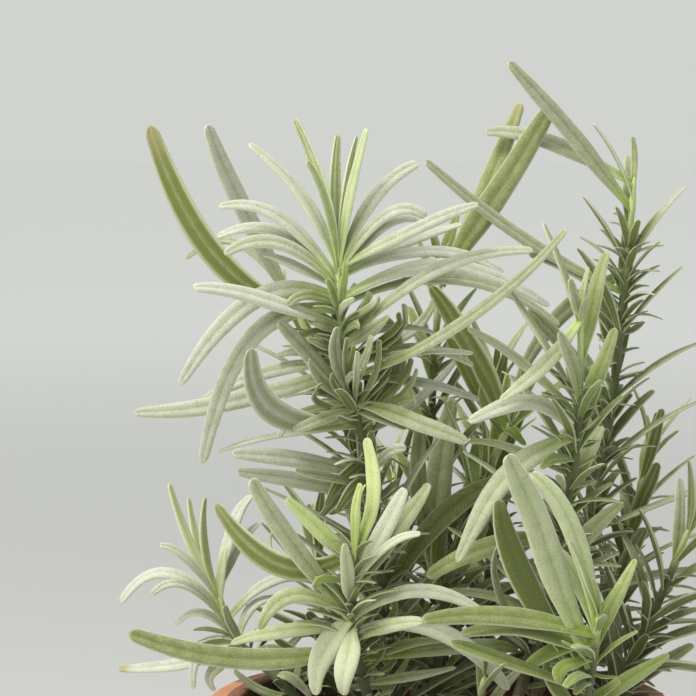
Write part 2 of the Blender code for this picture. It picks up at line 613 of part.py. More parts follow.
def add_soil(stems, collection):
    """The compost: it fills the pot to below its rim, falls a little at its edge, and has stem holes."""
    low = BASE_THICKNESS + SOIL_GAP
    shoulder = SOIL_HEIGHT - SOIL_SHOULDER
    profile = [
        (inner_radius(low) - FILLET - SOIL_GAP, low),
        (inner_radius(low + FILLET) - SOIL_GAP, low + FILLET + SOIL_GAP),
        (inner_radius(shoulder) - SOIL_GAP, shoulder),
        (inner_radius(SOIL_HEIGHT) * SOIL_LEVEL_SHARE, SOIL_HEIGHT),
    ]
    rings = [circle(radius, height) for radius, height in profile]
    compost = add_object("potting_compost", loft(rings), material("compost", SOIL_COLOUR, 1.0), collection)
    cutters = helper_collection("stem holes")
    radius = (STEM_BASE_RADIUS + HOLE_GAP) / math.cos(math.pi / HOLE_SIDES)
    for dense, _ in stems.values():
        rings = [circle(radius, height, dense[0][:2], HOLE_SIDES)
                 for height in (SOIL_HEIGHT - HOLE_DEPTH, SOIL_HEIGHT + CUTTER_OVERRUN)]
        add_object("hole", loft(rings), compost.data.materials[0], cutters)
    fused(compost, cutters, "DIFFERENCE")


def add_shoot(name, stem, leaves, surface, collection):
    body = add_object(name, stem_body(stem), surface, collection)
    blades = helper_collection("leaves of " + name)
    for leaf in leaves:
        add_object("leaf", blade_body(leaf), surface, blades)
    fused(body, blades, "UNION", "MANIFOLD")


def build():
    for obj in list(bpy.data.objects):
        bpy.data.objects.remove(obj)
    collection = bpy.context.scene.collection
    stems, leaves = grow()
    add_pot(collection)
    add_soil(stems, collection)
    surface = material("lavender leaf", LEAF_COLOUR, 0.85)
    for name in STEMS:
        add_shoot(name, stems[name], leaves[name], surface, collection)


build()
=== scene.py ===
"""A young English lavender in a clay pot, dressed for a plain studio picture.

Lengths are in millimetres until a mesh is made, and MM turns them into metres. The pot stands on z = 0
with its axis on the Z axis, and the front of the plant faces -Y.
"""

import math
import random

import bpy
import numpy as np
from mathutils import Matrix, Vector


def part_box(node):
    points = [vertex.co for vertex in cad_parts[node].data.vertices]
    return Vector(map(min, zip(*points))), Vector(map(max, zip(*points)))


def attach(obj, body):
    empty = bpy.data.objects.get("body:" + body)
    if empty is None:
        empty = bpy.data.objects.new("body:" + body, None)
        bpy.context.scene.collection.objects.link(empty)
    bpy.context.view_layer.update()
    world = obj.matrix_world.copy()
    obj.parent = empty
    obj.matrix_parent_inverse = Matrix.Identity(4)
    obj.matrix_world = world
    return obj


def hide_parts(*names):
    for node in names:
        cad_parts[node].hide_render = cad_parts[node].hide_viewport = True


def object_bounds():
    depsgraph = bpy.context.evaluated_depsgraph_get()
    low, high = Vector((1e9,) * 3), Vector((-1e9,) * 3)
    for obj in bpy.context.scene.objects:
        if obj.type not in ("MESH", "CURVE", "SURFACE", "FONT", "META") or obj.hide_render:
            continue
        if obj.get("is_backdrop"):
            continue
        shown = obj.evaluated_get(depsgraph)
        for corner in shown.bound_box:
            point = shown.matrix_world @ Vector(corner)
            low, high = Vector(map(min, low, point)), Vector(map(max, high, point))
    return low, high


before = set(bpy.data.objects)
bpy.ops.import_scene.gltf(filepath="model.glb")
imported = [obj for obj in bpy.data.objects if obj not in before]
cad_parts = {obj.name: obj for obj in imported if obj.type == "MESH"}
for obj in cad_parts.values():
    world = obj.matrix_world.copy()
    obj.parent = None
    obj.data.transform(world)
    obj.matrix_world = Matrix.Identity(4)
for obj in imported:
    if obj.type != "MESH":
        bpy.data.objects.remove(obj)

solids_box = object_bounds()
MM = 0.001


# The eye. It looks at the plant from 0.7 m away, level with the upper leaves and slightly downwards.
# Places of leaves further down are given as they look from here on the front plane, y = 0.
EYE = np.array([-21.9, -697.3, 245.9])
AIM = np.array([-21.9, 0.0, 184.9])
SEEN_WIDTH = 165.7
SENSOR = 36.0
NEAREST_SEEN = 10.0

camera = bpy.data.objects.new("camera", bpy.data.cameras.new("camera"))
bpy.context.scene.collection.objects.link(camera)
bpy.context.scene.camera = camera
camera.location = EYE * MM
camera.rotation_euler = Vector(AIM - EYE).to_track_quat("-Z", "Y").to_euler()
camera.data.sensor_width = SENSOR
camera.data.lens = SENSOR * np.linalg.norm(AIM - EYE) / SEEN_WIDTH
camera.data.clip_start = NEAREST_SEEN * MM
camera.data.dof.use_dof = False


# The studio. A wide matt floor fades into pale, evenly lit air, so the backdrop is plain from every
# side. A broad soft light stands high over the plant's left side, and a weak one in front fills in.
FLOOR_RADIUS = 9000.0
FLOOR_TURNS = 96
FLOOR_RINGS = 40
FLOOR_FADE = (300.0, 2600.0)
FLOOR_NEAR = (0.52, 0.52, 0.51)
FLOOR_FAR = (0.99, 0.99, 0.99)
AIR = (0.97, 1.0, 0.95)
AIR_STRENGTH = 0.65
MAIN_LIGHT = {"place": (-420, -150, 1100), "size": 420, "power": 11, "tint": (1.0, 0.99, 0.96)}
FRONT_FILL = {"place": (-600, -1000, 600), "size": 1000, "power": 4.2, "tint": (1.0, 1.0, 0.97)}


class Finish:
    """A Principled material, and short ways to build the pattern that feeds it."""

    def __init__(self, name, roughness):
        self.material = bpy.data.materials.new(name)
        self.material.use_nodes = True
        self.tree = self.material.node_tree
        self.shader = self.tree.nodes["Principled BSDF"]
        self.shader.inputs["Roughness"].default_value = roughness

    def feed(self, socket, value):
        """Joins a socket to another, or gives it a number, a vector or a colour."""
        if isinstance(value, bpy.types.NodeSocket):
            self.tree.links.new(value, socket)
        elif isinstance(value, tuple) and len(value) < len(socket.default_value):
            socket.default_value = (*value, 1.0)
        else:
            socket.default_value = value

    def node(self, kind, inputs=(), **settings):
        """A shader node of some kind, with its inputs fed and its settings made."""
        made = self.tree.nodes.new("ShaderNode" + kind)
        for key, value in settings.items():
            setattr(made, key, value)
        for key, value in dict(inputs).items():
            self.feed(made.inputs[key], value)
        return made

    def place(self, stretch=(1.0, 1.0, 1.0)):
        """Object coordinates in metres, each axis times its number. A small one draws patterns out."""
        source = self.node("TexCoord").outputs["Object"]
        return self.node("Mapping", {"Vector": source, "Scale": stretch}).outputs["Vector"]

    def noise(self, grain, detail=3.0, rough=0.5, stretch=(1.0, 1.0, 1.0)):
        """Cloudy noise whose blots are about this many millimetres across."""
        inputs = {"Vector": self.place(stretch), "Scale": 1 / (grain * MM), "Detail": detail,
                  "Roughness": rough}
        return self.node("TexNoise", inputs).outputs["Fac"]

    def dots(self, spacing):
        """The distance, about 0 to 1, to the nearest of points strewn this many millimetres apart."""
        inputs = {"Vector": self.place(), "Scale": 1 / (spacing * MM)}
        return self.node("TexVoronoi", inputs).outputs["Distance"]

    def attribute(self, name):
        """The three parts of a vector kept on the mesh's points."""
        source = self.node("Attribute", attribute_name=name).outputs["Vector"]
        return self.node("SeparateXYZ", {"Vector": source}).outputs

    def blend(self, share, first, second):
        """From the first colour to the second as the share goes from 0 to 1."""
        made = self.node("Mix", {0: share, 6: first, 7: second}, data_type="RGBA")
        return made.outputs[2]

    def total(self, *terms):
        """The sum of terms, each a socket or a pair of a socket and its weight, or a plain number."""
        sofar = 0.0
        for term in terms:
            value, weight = term if isinstance(term, tuple) else (term, 1.0)
            made = self.node("Math", {0: value, 1: weight, 2: sofar}, operation="MULTIPLY_ADD")
            sofar = made.outputs[0]
        return sofar

    def product(self, first, second):
        """One value times another."""
        return self.node("Math", {0: first, 1: second}, operation="MULTIPLY").outputs[0]

    def between(self, value, start, end):
        """0 until the value comes to start, rising or falling, 1 from end on, a smooth step between."""
        made = self.node("MapRange", {0: value, 1: start, 2: end}, interpolation_type="SMOOTHSTEP")
        return made.outputs[0]

    def relief(self, height, depth, strength=1.0):
        """Bumps up to this many millimetres deep from a pattern of heights."""
        inputs = {"Height": height, "Distance": depth * MM, "Strength": strength}
        self.feed(self.shader.inputs["Normal"], self.node("Bump", inputs).outputs["Normal"])

    def colour(self, value):
        """The pattern or colour that the surface shows."""
        self.feed(self.shader.inputs["Base Color"], value)

    def evenly(self, sockets):
        """Sets what is the same all over the surface, by the names of the shader's sockets."""
        for name, value in sockets.items():
            self.shader.inputs[name].default_value = value


def grid_faces(rows, columns, wrap=False):
    """Four-sided faces over points numbered row by row, the columns closed in a ring or left open."""
    across = np.arange(columns if wrap else columns - 1)
    low = np.arange(rows - 1)[:, None] * columns
    here, there = low + across, low + (across + 1) % columns
    return np.stack([here, there, there + columns, here + columns], axis=-1).reshape(-1, 4)


def add_piece(name, points, faces, finishes):
    """A smooth mesh at the origin from points in millimetres."""
    mesh = bpy.data.meshes.new(name)
    mesh.from_pydata((np.asarray(points).reshape(-1, 3) * MM).tolist(), [], faces)
    for finish in finishes:
        mesh.materials.append(finish.material)
    mesh.shade_smooth()
    piece = bpy.data.objects.new(name, mesh)
    bpy.context.scene.collection.objects.link(piece)
    return piece


def soft_light(name, place, size, power, tint):
    """A square light of this size at this place, facing the plant."""
    lamp = bpy.data.lights.new(name, "AREA")
    lamp.size = size * MM
    lamp.energy = power
    lamp.color = tint
    holder = bpy.data.objects.new(name, lamp)
    bpy.context.scene.collection.objects.link(holder)
    holder.location = np.array(place) * MM
    holder.rotation_euler = Vector(AIM - np.array(place)).to_track_quat("-Z", "Y").to_euler()


angle = np.linspace(0, 2 * math.pi, FLOOR_TURNS, endpoint=False)
reach = np.geomspace(1.0, FLOOR_RADIUS, FLOOR_RINGS)[:, None]
rings = np.stack([reach * np.cos(angle), reach * np.sin(angle), 0 * reach * angle], axis=-1)
faces = grid_faces(FLOOR_RINGS, FLOOR_TURNS, wrap=True).tolist() + [list(range(FLOOR_TURNS))]
floor_finish = Finish("studio floor", 0.9)
away = floor_finish.node("VectorMath", {0: floor_finish.place()}, operation="LENGTH").outputs["Value"]
near, far = (distance * MM for distance in FLOOR_FADE)
floor_finish.colour(floor_finish.blend(floor_finish.between(away, near, far), FLOOR_NEAR, FLOOR_FAR))
floor = add_piece("studio_floor", rings, faces, [floor_finish])
floor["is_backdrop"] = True
soft_light("main light", **MAIN_LIGHT)
soft_light("front fill", **FRONT_FILL)
world = bpy.data.worlds.new("studio air")
world.use_nodes = True
air = world.node_tree.nodes["Background"]
air.inputs["Color"].default_value = (*AIR, 1.0)
air.inputs["Strength"].default_value = AIR_STRENGTH
bpy.context.scene.world = world
bpy.context.scene.view_settings.view_transform = "Standard"


# The pot. A plain tapered flowerpot of fired red clay with a collar round its rim. It was thrown on a
# wheel, so faint rings run round it, and lime from the water has dried on it in pale patches.
POT_TURNS = 144
POT_BASE = 38.0
POT_EDGE = 1.4
POT_WALL = 5.0
POT_FLOOR = 7.0
POT_FILLET = 3.0
BASE_EASE = 0.3
WALL_RINGS = 14
COLLAR = 24.0
COLLAR_STEP = 3.0
COLLAR_EASES = (0.3, 0.2)
COLLAR_EDGE = 1.6 * POT_EDGE
LIP_EDGE = 1.5 * POT_EDGE
DRAINS = 3
DRAIN_OFFSET = 18.0
DRAIN_RADIUS = 4.0
DRAIN_TURNS = 32
SHARP_ANGLE = 40.0
CLAY = (0.47, 0.19, 0.095)
CLAY_PALE = (0.62, 0.33, 0.20)
CLAY_DARK = (0.30, 0.11, 0.055)
LIME = (0.66, 0.53, 0.42)
CLAY_INSIDE_DARK = (0.10, 0.055, 0.03)

# The flat faces under the pot and on its floor start at these shares of its base.
UNDER_SHARE = 0.5
FLOOR_SHARE = 0.3

# The clay is darker in blots this close to the inner face of the wall, above these heights.
INSIDE_DARK_SKIN = (0.6, 0.1)
INSIDE_DARK_LINE = (80.0, 84.0)

pot_top = np.array(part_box("pot")[1]) / MM
POT_RIM, POT_HEIGHT = pot_top[0], pot_top[2]


def curve_round(start, corner, end, steps=7):
    """The parabola from start to end that leaves and arrives along the lines to the corner."""
    s = np.linspace(0, 1, steps)[:, None]
    return (1 - s) ** 2 * np.array(start) + 2 * s * (1 - s) * np.array(corner) + s**2 * np.array(end)


def lathe(profile, turns, centre=(0.0, 0.0)):
    """Points (r cos a, r sin a, z) for each (r, z) of a profile and each angle a, with flat end caps."""
    a = np.linspace(0, 2 * math.pi, turns, endpoint=False)
    r, z = profile[:, :1], profile[:, 1:]
    points = np.stack([centre[0] + r * np.cos(a), centre[1] + r * np.sin(a), z + 0 * a], axis=-1)
    first = np.arange(turns)
    caps = [first[::-1].tolist(), (first + turns * (len(profile) - 1)).tolist()]
    return points.reshape(-1, 3), grid_faces(len(profile), turns, wrap=True).tolist() + caps


def pot_inside(z):
    """The radius of the pot's inside at a height: a straight taper, less the wall."""
    return POT_BASE + (POT_RIM - COLLAR_STEP - POT_BASE) * z / POT_HEIGHT - POT_WALL


def terracotta():
    """Fired clay: drifts of paler and darker red, lime in blots, rings from the wheel, fine grain. The
    inside above the compost is darker in blots."""
    clay = Finish("terracotta", 0.92)
    drift = clay.noise(34.0, detail=5.0, rough=0.6)
    scorch = clay.noise(90.0, detail=3.0)
    lime = clay.noise(13.0, detail=8.0, rough=0.72)
    fine = clay.noise(0.7)
    rings = clay.noise(2.4, stretch=(0.02, 0.02, 1.0))
    base = clay.blend(clay.between(drift, 0.3, 0.7), CLAY, CLAY_PALE)
    base = clay.blend(clay.between(scorch, 0.55, 0.75), base, CLAY_DARK)
    base = clay.blend(clay.product(clay.between(lime, 0.5, 0.76), 0.7), base, LIME)
    base = clay.blend(clay.product(clay.between(fine, 0.55, 0.8), 0.25), base, CLAY_DARK)
    from_axis = clay.node("VectorMath", {0: clay.place((1.0, 1.0, 0.0))}, operation="LENGTH")
    up = clay.node("SeparateXYZ", {"Vector": clay.place()}).outputs["Z"]
    wall = (POT_RIM - POT_WALL) * MM
    skin = [wall + depth * MM for depth in INSIDE_DARK_SKIN]
    line = [height * MM for height in INSIDE_DARK_LINE]
    inside = clay.product(clay.between(from_axis.outputs["Value"], *skin), clay.between(up, *line))
    # The inner face of the wall above the compost line is darkened in blots.
    damp = clay.product(inside, clay.between(clay.total((drift, 0.6), (lime, 0.4)), 0.25, 0.5))
    clay.colour(clay.blend(clay.product(damp, 0.85), base, CLAY_INSIDE_DARK))
    clay.relief(clay.total((rings, 1.5), fine), 0.35, 0.6)
    return clay


foot = POT_HEIGHT - COLLAR
wall_foot = pot_inside(foot) + POT_WALL
inner_top = pot_inside(POT_HEIGHT)
floor_edge = pot_inside(POT_FLOOR)
profile = np.vstack([
    [[POT_BASE * UNDER_SHARE, 0.0]],
    curve_round((POT_BASE - POT_EDGE, 0.0), (POT_BASE, 0.0), (POT_BASE + BASE_EASE, POT_EDGE)),
    np.linspace((POT_BASE, POT_EDGE), (wall_foot, foot), WALL_RINGS)[1:],
    curve_round((POT_RIM - COLLAR_EDGE, foot), (POT_RIM - COLLAR_EASES[0], foot),
                (POT_RIM - COLLAR_EASES[1], foot + POT_EDGE)),
    curve_round((POT_RIM, POT_HEIGHT - LIP_EDGE), (POT_RIM, POT_HEIGHT), (POT_RIM - LIP_EDGE, POT_HEIGHT)),
    curve_round((inner_top + POT_EDGE, POT_HEIGHT), (inner_top, POT_HEIGHT),
                (inner_top, POT_HEIGHT - POT_EDGE)),
    curve_round((pot_inside(POT_FLOOR + POT_FILLET), POT_FLOOR + POT_FILLET), (floor_edge, POT_FLOOR),
                (floor_edge - POT_FILLET, POT_FLOOR)),
    [[POT_BASE * FLOOR_SHARE, POT_FLOOR]],
])
points, faces = lathe(profile, POT_TURNS)
pot = add_piece("clay_pot", points, faces, [terracotta()])
for k in range(DRAINS):
    angle = 2 * math.pi * k / DRAINS
    centre = (DRAIN_OFFSET * math.cos(angle), DRAIN_OFFSET * math.sin(angle))
    bore = np.array([[DRAIN_RADIUS, -POT_FLOOR], [DRAIN_RADIUS, 2 * POT_FLOOR]])
    points, faces = lathe(bore, DRAIN_TURNS, centre)
    drill = add_piece("drill", points, faces, [])
    cut = pot.modifiers.new("drain hole", "BOOLEAN")
    cut.operation = "DIFFERENCE"
    cut.object = drill
    bored = bpy.data.meshes.new_from_object(pot.evaluated_get(bpy.context.evaluated_depsgraph_get()))
    pot.modifiers.remove(cut)
    pot.data = bored
    bpy.data.objects.remove(drill)
pot.data.set_sharp_from_angle(angle=math.radians(SHARP_ANGLE))
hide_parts("pot")
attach(pot, "root")


# The compost. Dark crumbly peat, pressed in by hand to below the rim and a little lower at its edge.
# Loose crumbs lie on it, with white grains of perlite among them.
SOIL_TURNS = 160
SOIL_RINGS = 46
SOIL_MIDDLE = 0.6
SOIL_SEED = 11

# The top falls by its shoulder over the outer part of its radius, where it is also smoother. Its waves
# come in two lengths, with their weights, and are cut off at a limit and sunk.
SOIL_SHOULDER = 1.5
EDGE_FROM = 0.8
EDGE_WIDTH = 0.2
EDGE_CALM = 0.7
SOIL_ROUGHNESS = 0.45
SOIL_WAVES = 26
WAVE_LENGTHS = ((13.0, 1.0), (4.5, 0.6))
WAVE_SPREAD = (0.7, 1.6)
WAVE_LIMIT = 1.6
WAVE_SINK = 1.0

# Under its top the compost narrows with the pot: shares of the top's radius, and heights.
BALL_SHARES = (0.86, 0.72)
BALL_MIDDLE = 45.0
BALL_FOOT = 1.0

# Grains: how many, then the smallest, the largest and how flat. Most are small, all are stretched and
# uneven, and they lie half sunk and clear of the pot.
CRUMBS = (900, 0.5, 2.3, 0.7)
PERLITE = (60, 0.6, 1.4, 0.8)
GRAIN_SKEW = 2.5
GRAIN_STRETCH = (0.6, 1.3)
GRAIN_CORNERS = (0.75, 1.2)
GRAIN_LIFT = 0.3
GRAIN_FREE_EDGE = 2.5
PEAT = (0.034, 0.021, 0.013)
PEAT_DRY = (0.15, 0.095, 0.058)
PERLITE_WHITE = (0.76, 0.75, 0.70)

soil_low, soil_high = (np.array(corner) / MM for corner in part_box("potting_compost"))
soil_draw = np.random.default_rng(SOIL_SEED)
soil_waves = [(weight, *soil_draw.uniform(0, 2 * math.pi, (2, SOIL_WAVES)),
               soil_draw.uniform(*WAVE_SPREAD, SOIL_WAVES) * 2 * math.pi / wave_length)
              for wave_length, weight in WAVE_LENGTHS]


def soil_height(x, y):
    """A level top that falls to its edge, plus sines of two lengths in random directions."""
    edge = np.clip((np.hypot(x, y) / soil_high[0] - EDGE_FROM) / EDGE_WIDTH, 0, 1)
    rough = 0.0
    for weight, turn, phase, pace in soil_waves:
        along = x[..., None] * np.cos(turn) + y[..., None] * np.sin(turn)
        rough = rough + weight * np.sin(along * pace + phase).sum(-1) / math.sqrt(SOIL_WAVES)
    rough = SOIL_ROUGHNESS * (np.clip(rough, -WAVE_LIMIT, WAVE_LIMIT) - WAVE_SINK)
    return soil_high[2] - SOIL_SHOULDER * edge + rough * (1 - EDGE_CALM * edge)


def peat():
    """Crumbly peat: nearly black where damp, brown where it has dried, with a broken surface."""
    soil = Finish("peat", 1.0)
    blots = soil.noise(4.0, detail=6.0, rough=0.7)
    crumb = soil.noise(0.9, detail=4.0, rough=0.7)
    dried = soil.between(soil.total((blots, 0.6), (crumb, 0.4)), 0.44, 0.68)
    soil.colour(soil.blend(dried, PEAT, PEAT_DRY))
    soil.relief(crumb, 0.7)
    return soil


peat_finish = peat()
angle = np.linspace(0, 2 * math.pi, SOIL_TURNS, endpoint=False)
reach = np.linspace(SOIL_MIDDLE, soil_high[0], SOIL_RINGS)[:, None]
x, y = reach * np.cos(angle), reach * np.sin(angle)
top = np.stack([x, y, soil_height(x, y)], axis=-1)
ball = [np.stack([x[-1] * narrow, y[-1] * narrow, np.full(SOIL_TURNS, z)], axis=-1)[None]
        for narrow, z in zip(BALL_SHARES, (BALL_MIDDLE, soil_low[2] + BALL_FOOT))]
ground = np.concatenate([top, *ball])[::-1]
last = SOIL_TURNS * (len(ground) - 1)
faces = grid_faces(len(ground), SOIL_TURNS, wrap=True).tolist()
faces += [list(range(SOIL_TURNS))[::-1], list(range(last, last + SOIL_TURNS))]
compost = add_piece("compost", ground, faces, [peat_finish])
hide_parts("potting_compost")
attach(compost, "root")

GOLDEN = (1 + math.sqrt(5)) / 2
TWENTY_CORNERS = np.array([(-1, GOLDEN, 0), (1, GOLDEN, 0), (-1, -GOLDEN, 0), (1, -GOLDEN, 0),
                           (0, -1, GOLDEN), (0, 1, GOLDEN), (0, -1, -GOLDEN), (0, 1, -GOLDEN),
                           (GOLDEN, 0, -1), (GOLDEN, 0, 1), (-GOLDEN, 0, -1), (-GOLDEN, 0, 1)])
TWENTY_CORNERS = TWENTY_CORNERS / math.hypot(1, GOLDEN)
TWENTY_FACES = np.array([(0, 11, 5), (0, 5, 1), (0, 1, 7), (0, 7, 10), (0, 10, 11), (1, 5, 9), (5, 11, 4),
                         (11, 10, 2), (10, 7, 6), (7, 1, 8), (3, 9, 4), (3, 4, 2), (3, 2, 6), (3, 6, 8),
                         (3, 8, 9), (4, 9, 5), (2, 4, 11), (6, 2, 10), (8, 6, 7), (9, 8, 1)])


def strewn_grains(count, smallest, largest, flatness):
    """Twenty-sided grains with uneven corners, turned and strewn over the compost, half sunk in it."""
    angle = soil_draw.uniform(0, 2 * math.pi, count)
    reach = (soil_high[0] - GRAIN_FREE_EDGE) * np.sqrt(soil_draw.uniform(0, 1, count))
    x, y = reach * np.cos(angle), reach * np.sin(angle)
    size = smallest + (largest - smallest) * soil_draw.uniform(0, 1, count) ** GRAIN_SKEW
    stretch = soil_draw.uniform(*GRAIN_STRETCH, (count, 1, 3)) * (1.0, 1.0, flatness) * size[:, None, None]
    corners = TWENTY_CORNERS * soil_draw.uniform(*GRAIN_CORNERS, (count, len(TWENTY_CORNERS), 1)) * stretch
    spin = soil_draw.uniform(0, 2 * math.pi, count)[:, None]
    turned = np.stack([corners[..., 0] * np.cos(spin) - corners[..., 1] * np.sin(spin),
                       corners[..., 0] * np.sin(spin) + corners[..., 1] * np.cos(spin),
                       corners[..., 2]], axis=-1)
    centre = np.stack([x, y, soil_height(x, y) + GRAIN_LIFT * size * flatness], axis=-1)
    faces = TWENTY_FACES + len(TWENTY_CORNERS) * np.arange(count)[:, None, None]
    return turned + centre[:, None], faces.reshape(-1, 3)


perlite = Finish("perlite", 0.9)
perlite.colour(perlite.blend(perlite.noise(0.8), PERLITE_WHITE, PEAT_DRY))
perlite.relief(perlite.noise(0.5), 0.2)
for name, sizes, finish in (("compost_crumbs", CRUMBS, peat_finish), ("perlite", PERLITE, perlite)):
    points, faces = strewn_grains(*sizes)
    grains = add_piece(name, points, faces.tolist(), [finish])
    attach(grains, "root")


# How the shoots grow. Lavender leaves sit in opposite pairs that turn a quarter from one pair to the
# next. Those in view stand one by one where they were seen, and the rest keep clear of them by rule.
SOIL_HEIGHT = 90.0
HOLE_DEPTH = 12.0
HOLE_GAP = 0.3
STEM_BASE_RADIUS = 1.5
STEM_FOOT = 1.0
STEM_UPRIGHT = 0.5
STEM_SAMPLES = 12
STEM_STRIDE = 4
BLADE_KEEL = 0.5
WIDTH_OF_LENGTH = 0.125
PAIR_WIDTH = 0.6
FRONT = -90.0
SPREAD_LOW = 68.0
SPREAD_TOP = 24.0
BEARING_DRAW = 12.0
SPREAD_DRAW = 6.0
LENGTH_DRAW = (0.85, 1.1)
DROOP_DRAW = (0.02, 0.1)

# A leaf keeps clear of the others in this many straight steps, but for the first few of them among
# the leaves of its own shoot, and of the pot but for the first share of its length. Where it finds
# no room, it is tried at these shifts backwards, or turned and raised by these angles.
LEAF_STEPS = 8
CROWDED_STEPS = 3
NEARBY = 12.0
LEAF_MARGIN = 0.45
POT_MARGIN = 1.0
POT_FREE_SHARE = 0.15
SHIFTS_TRIED = (0, 2, -2, 4, -4, 6, -6, 9, -9, 12, -12, 16, -16)
TURNS_TRIED = (0, 14, -14, 28, -28, 42, -42)
RAISES_TRIED = (0, 18)

# Two directions this near to parallel count as parallel, and lengths this near to each other as touching.
PARALLEL = 1e-9
TOUCHING = 1e-6

# Each shoot: where its stem leaves the compost, as (x, y), then points up the stem as
# (x, height, depth), where x and height are as seen on the front plane.
STEMS = {
    "shoot_middle": ((-9, -8), [(-14, 128, -12), (-17, 156, -14), (-20.5, 172, -15), (-23.5, 190, -15),
                                (-24.3, 205, -15)]),
    "shoot_front": ((-13, -22), [(-18, 104, -27), (-20.5, 115, -29), (-21, 125, -30), (-19.3, 147, -30)]),
    "shoot_right": ((15, -12), [(24, 118, -18), (30, 145, -21), (33, 165, -22), (33.5, 192, -22)]),
    "shoot_behind": ((2, 14), [(0, 130, 12), (-2, 165, 14), (0, 203, 15)]),
    "shoot_left_low": ((-31, 13), [(-38.5, 105, 16), (-45.5, 111, 21), (-50.5, 117, 25), (-53, 126, 26)]),
    "shoot_right_near": ((27, -26), [(32, 93, -33), (36, 104, -40), (38.5, 121, -45)]),
    "shoot_left_tall": ((-12, 10), [(-17, 140, 10), (-22, 165, 12), (-35.5, 197, 12)]),
    "shoot_right_tall": ((22, 14), [(33, 130, 14), (40, 165, 15), (44, 200, 16), (46, 226, 16)]),
    "shoot_inner": ((-1, -2), [(0, 118, -2), (5, 140, -1), (17, 168, 0)]),
    "shoot_back_left": ((-18, 30), [(-25, 112, 38), (-30, 140, 45)]),
    "shoot_back_middle": ((-4, 38), [(-8, 118, 44), (-11, 156, 50)]),
    "shoot_back": ((10, 30), [(12, 130, 38), (13, 175, 44)]),
    "shoot_back_right": ((30, 24), [(40, 120, 34), (50, 160, 42)]),
    "shoot_right_low": ((36, 0), [(50, 118, 0), (60, 142, -2)]),
    "shoot_front_low": ((8, -28), [(10, 99, -35), (11, 106, -38)]),
}

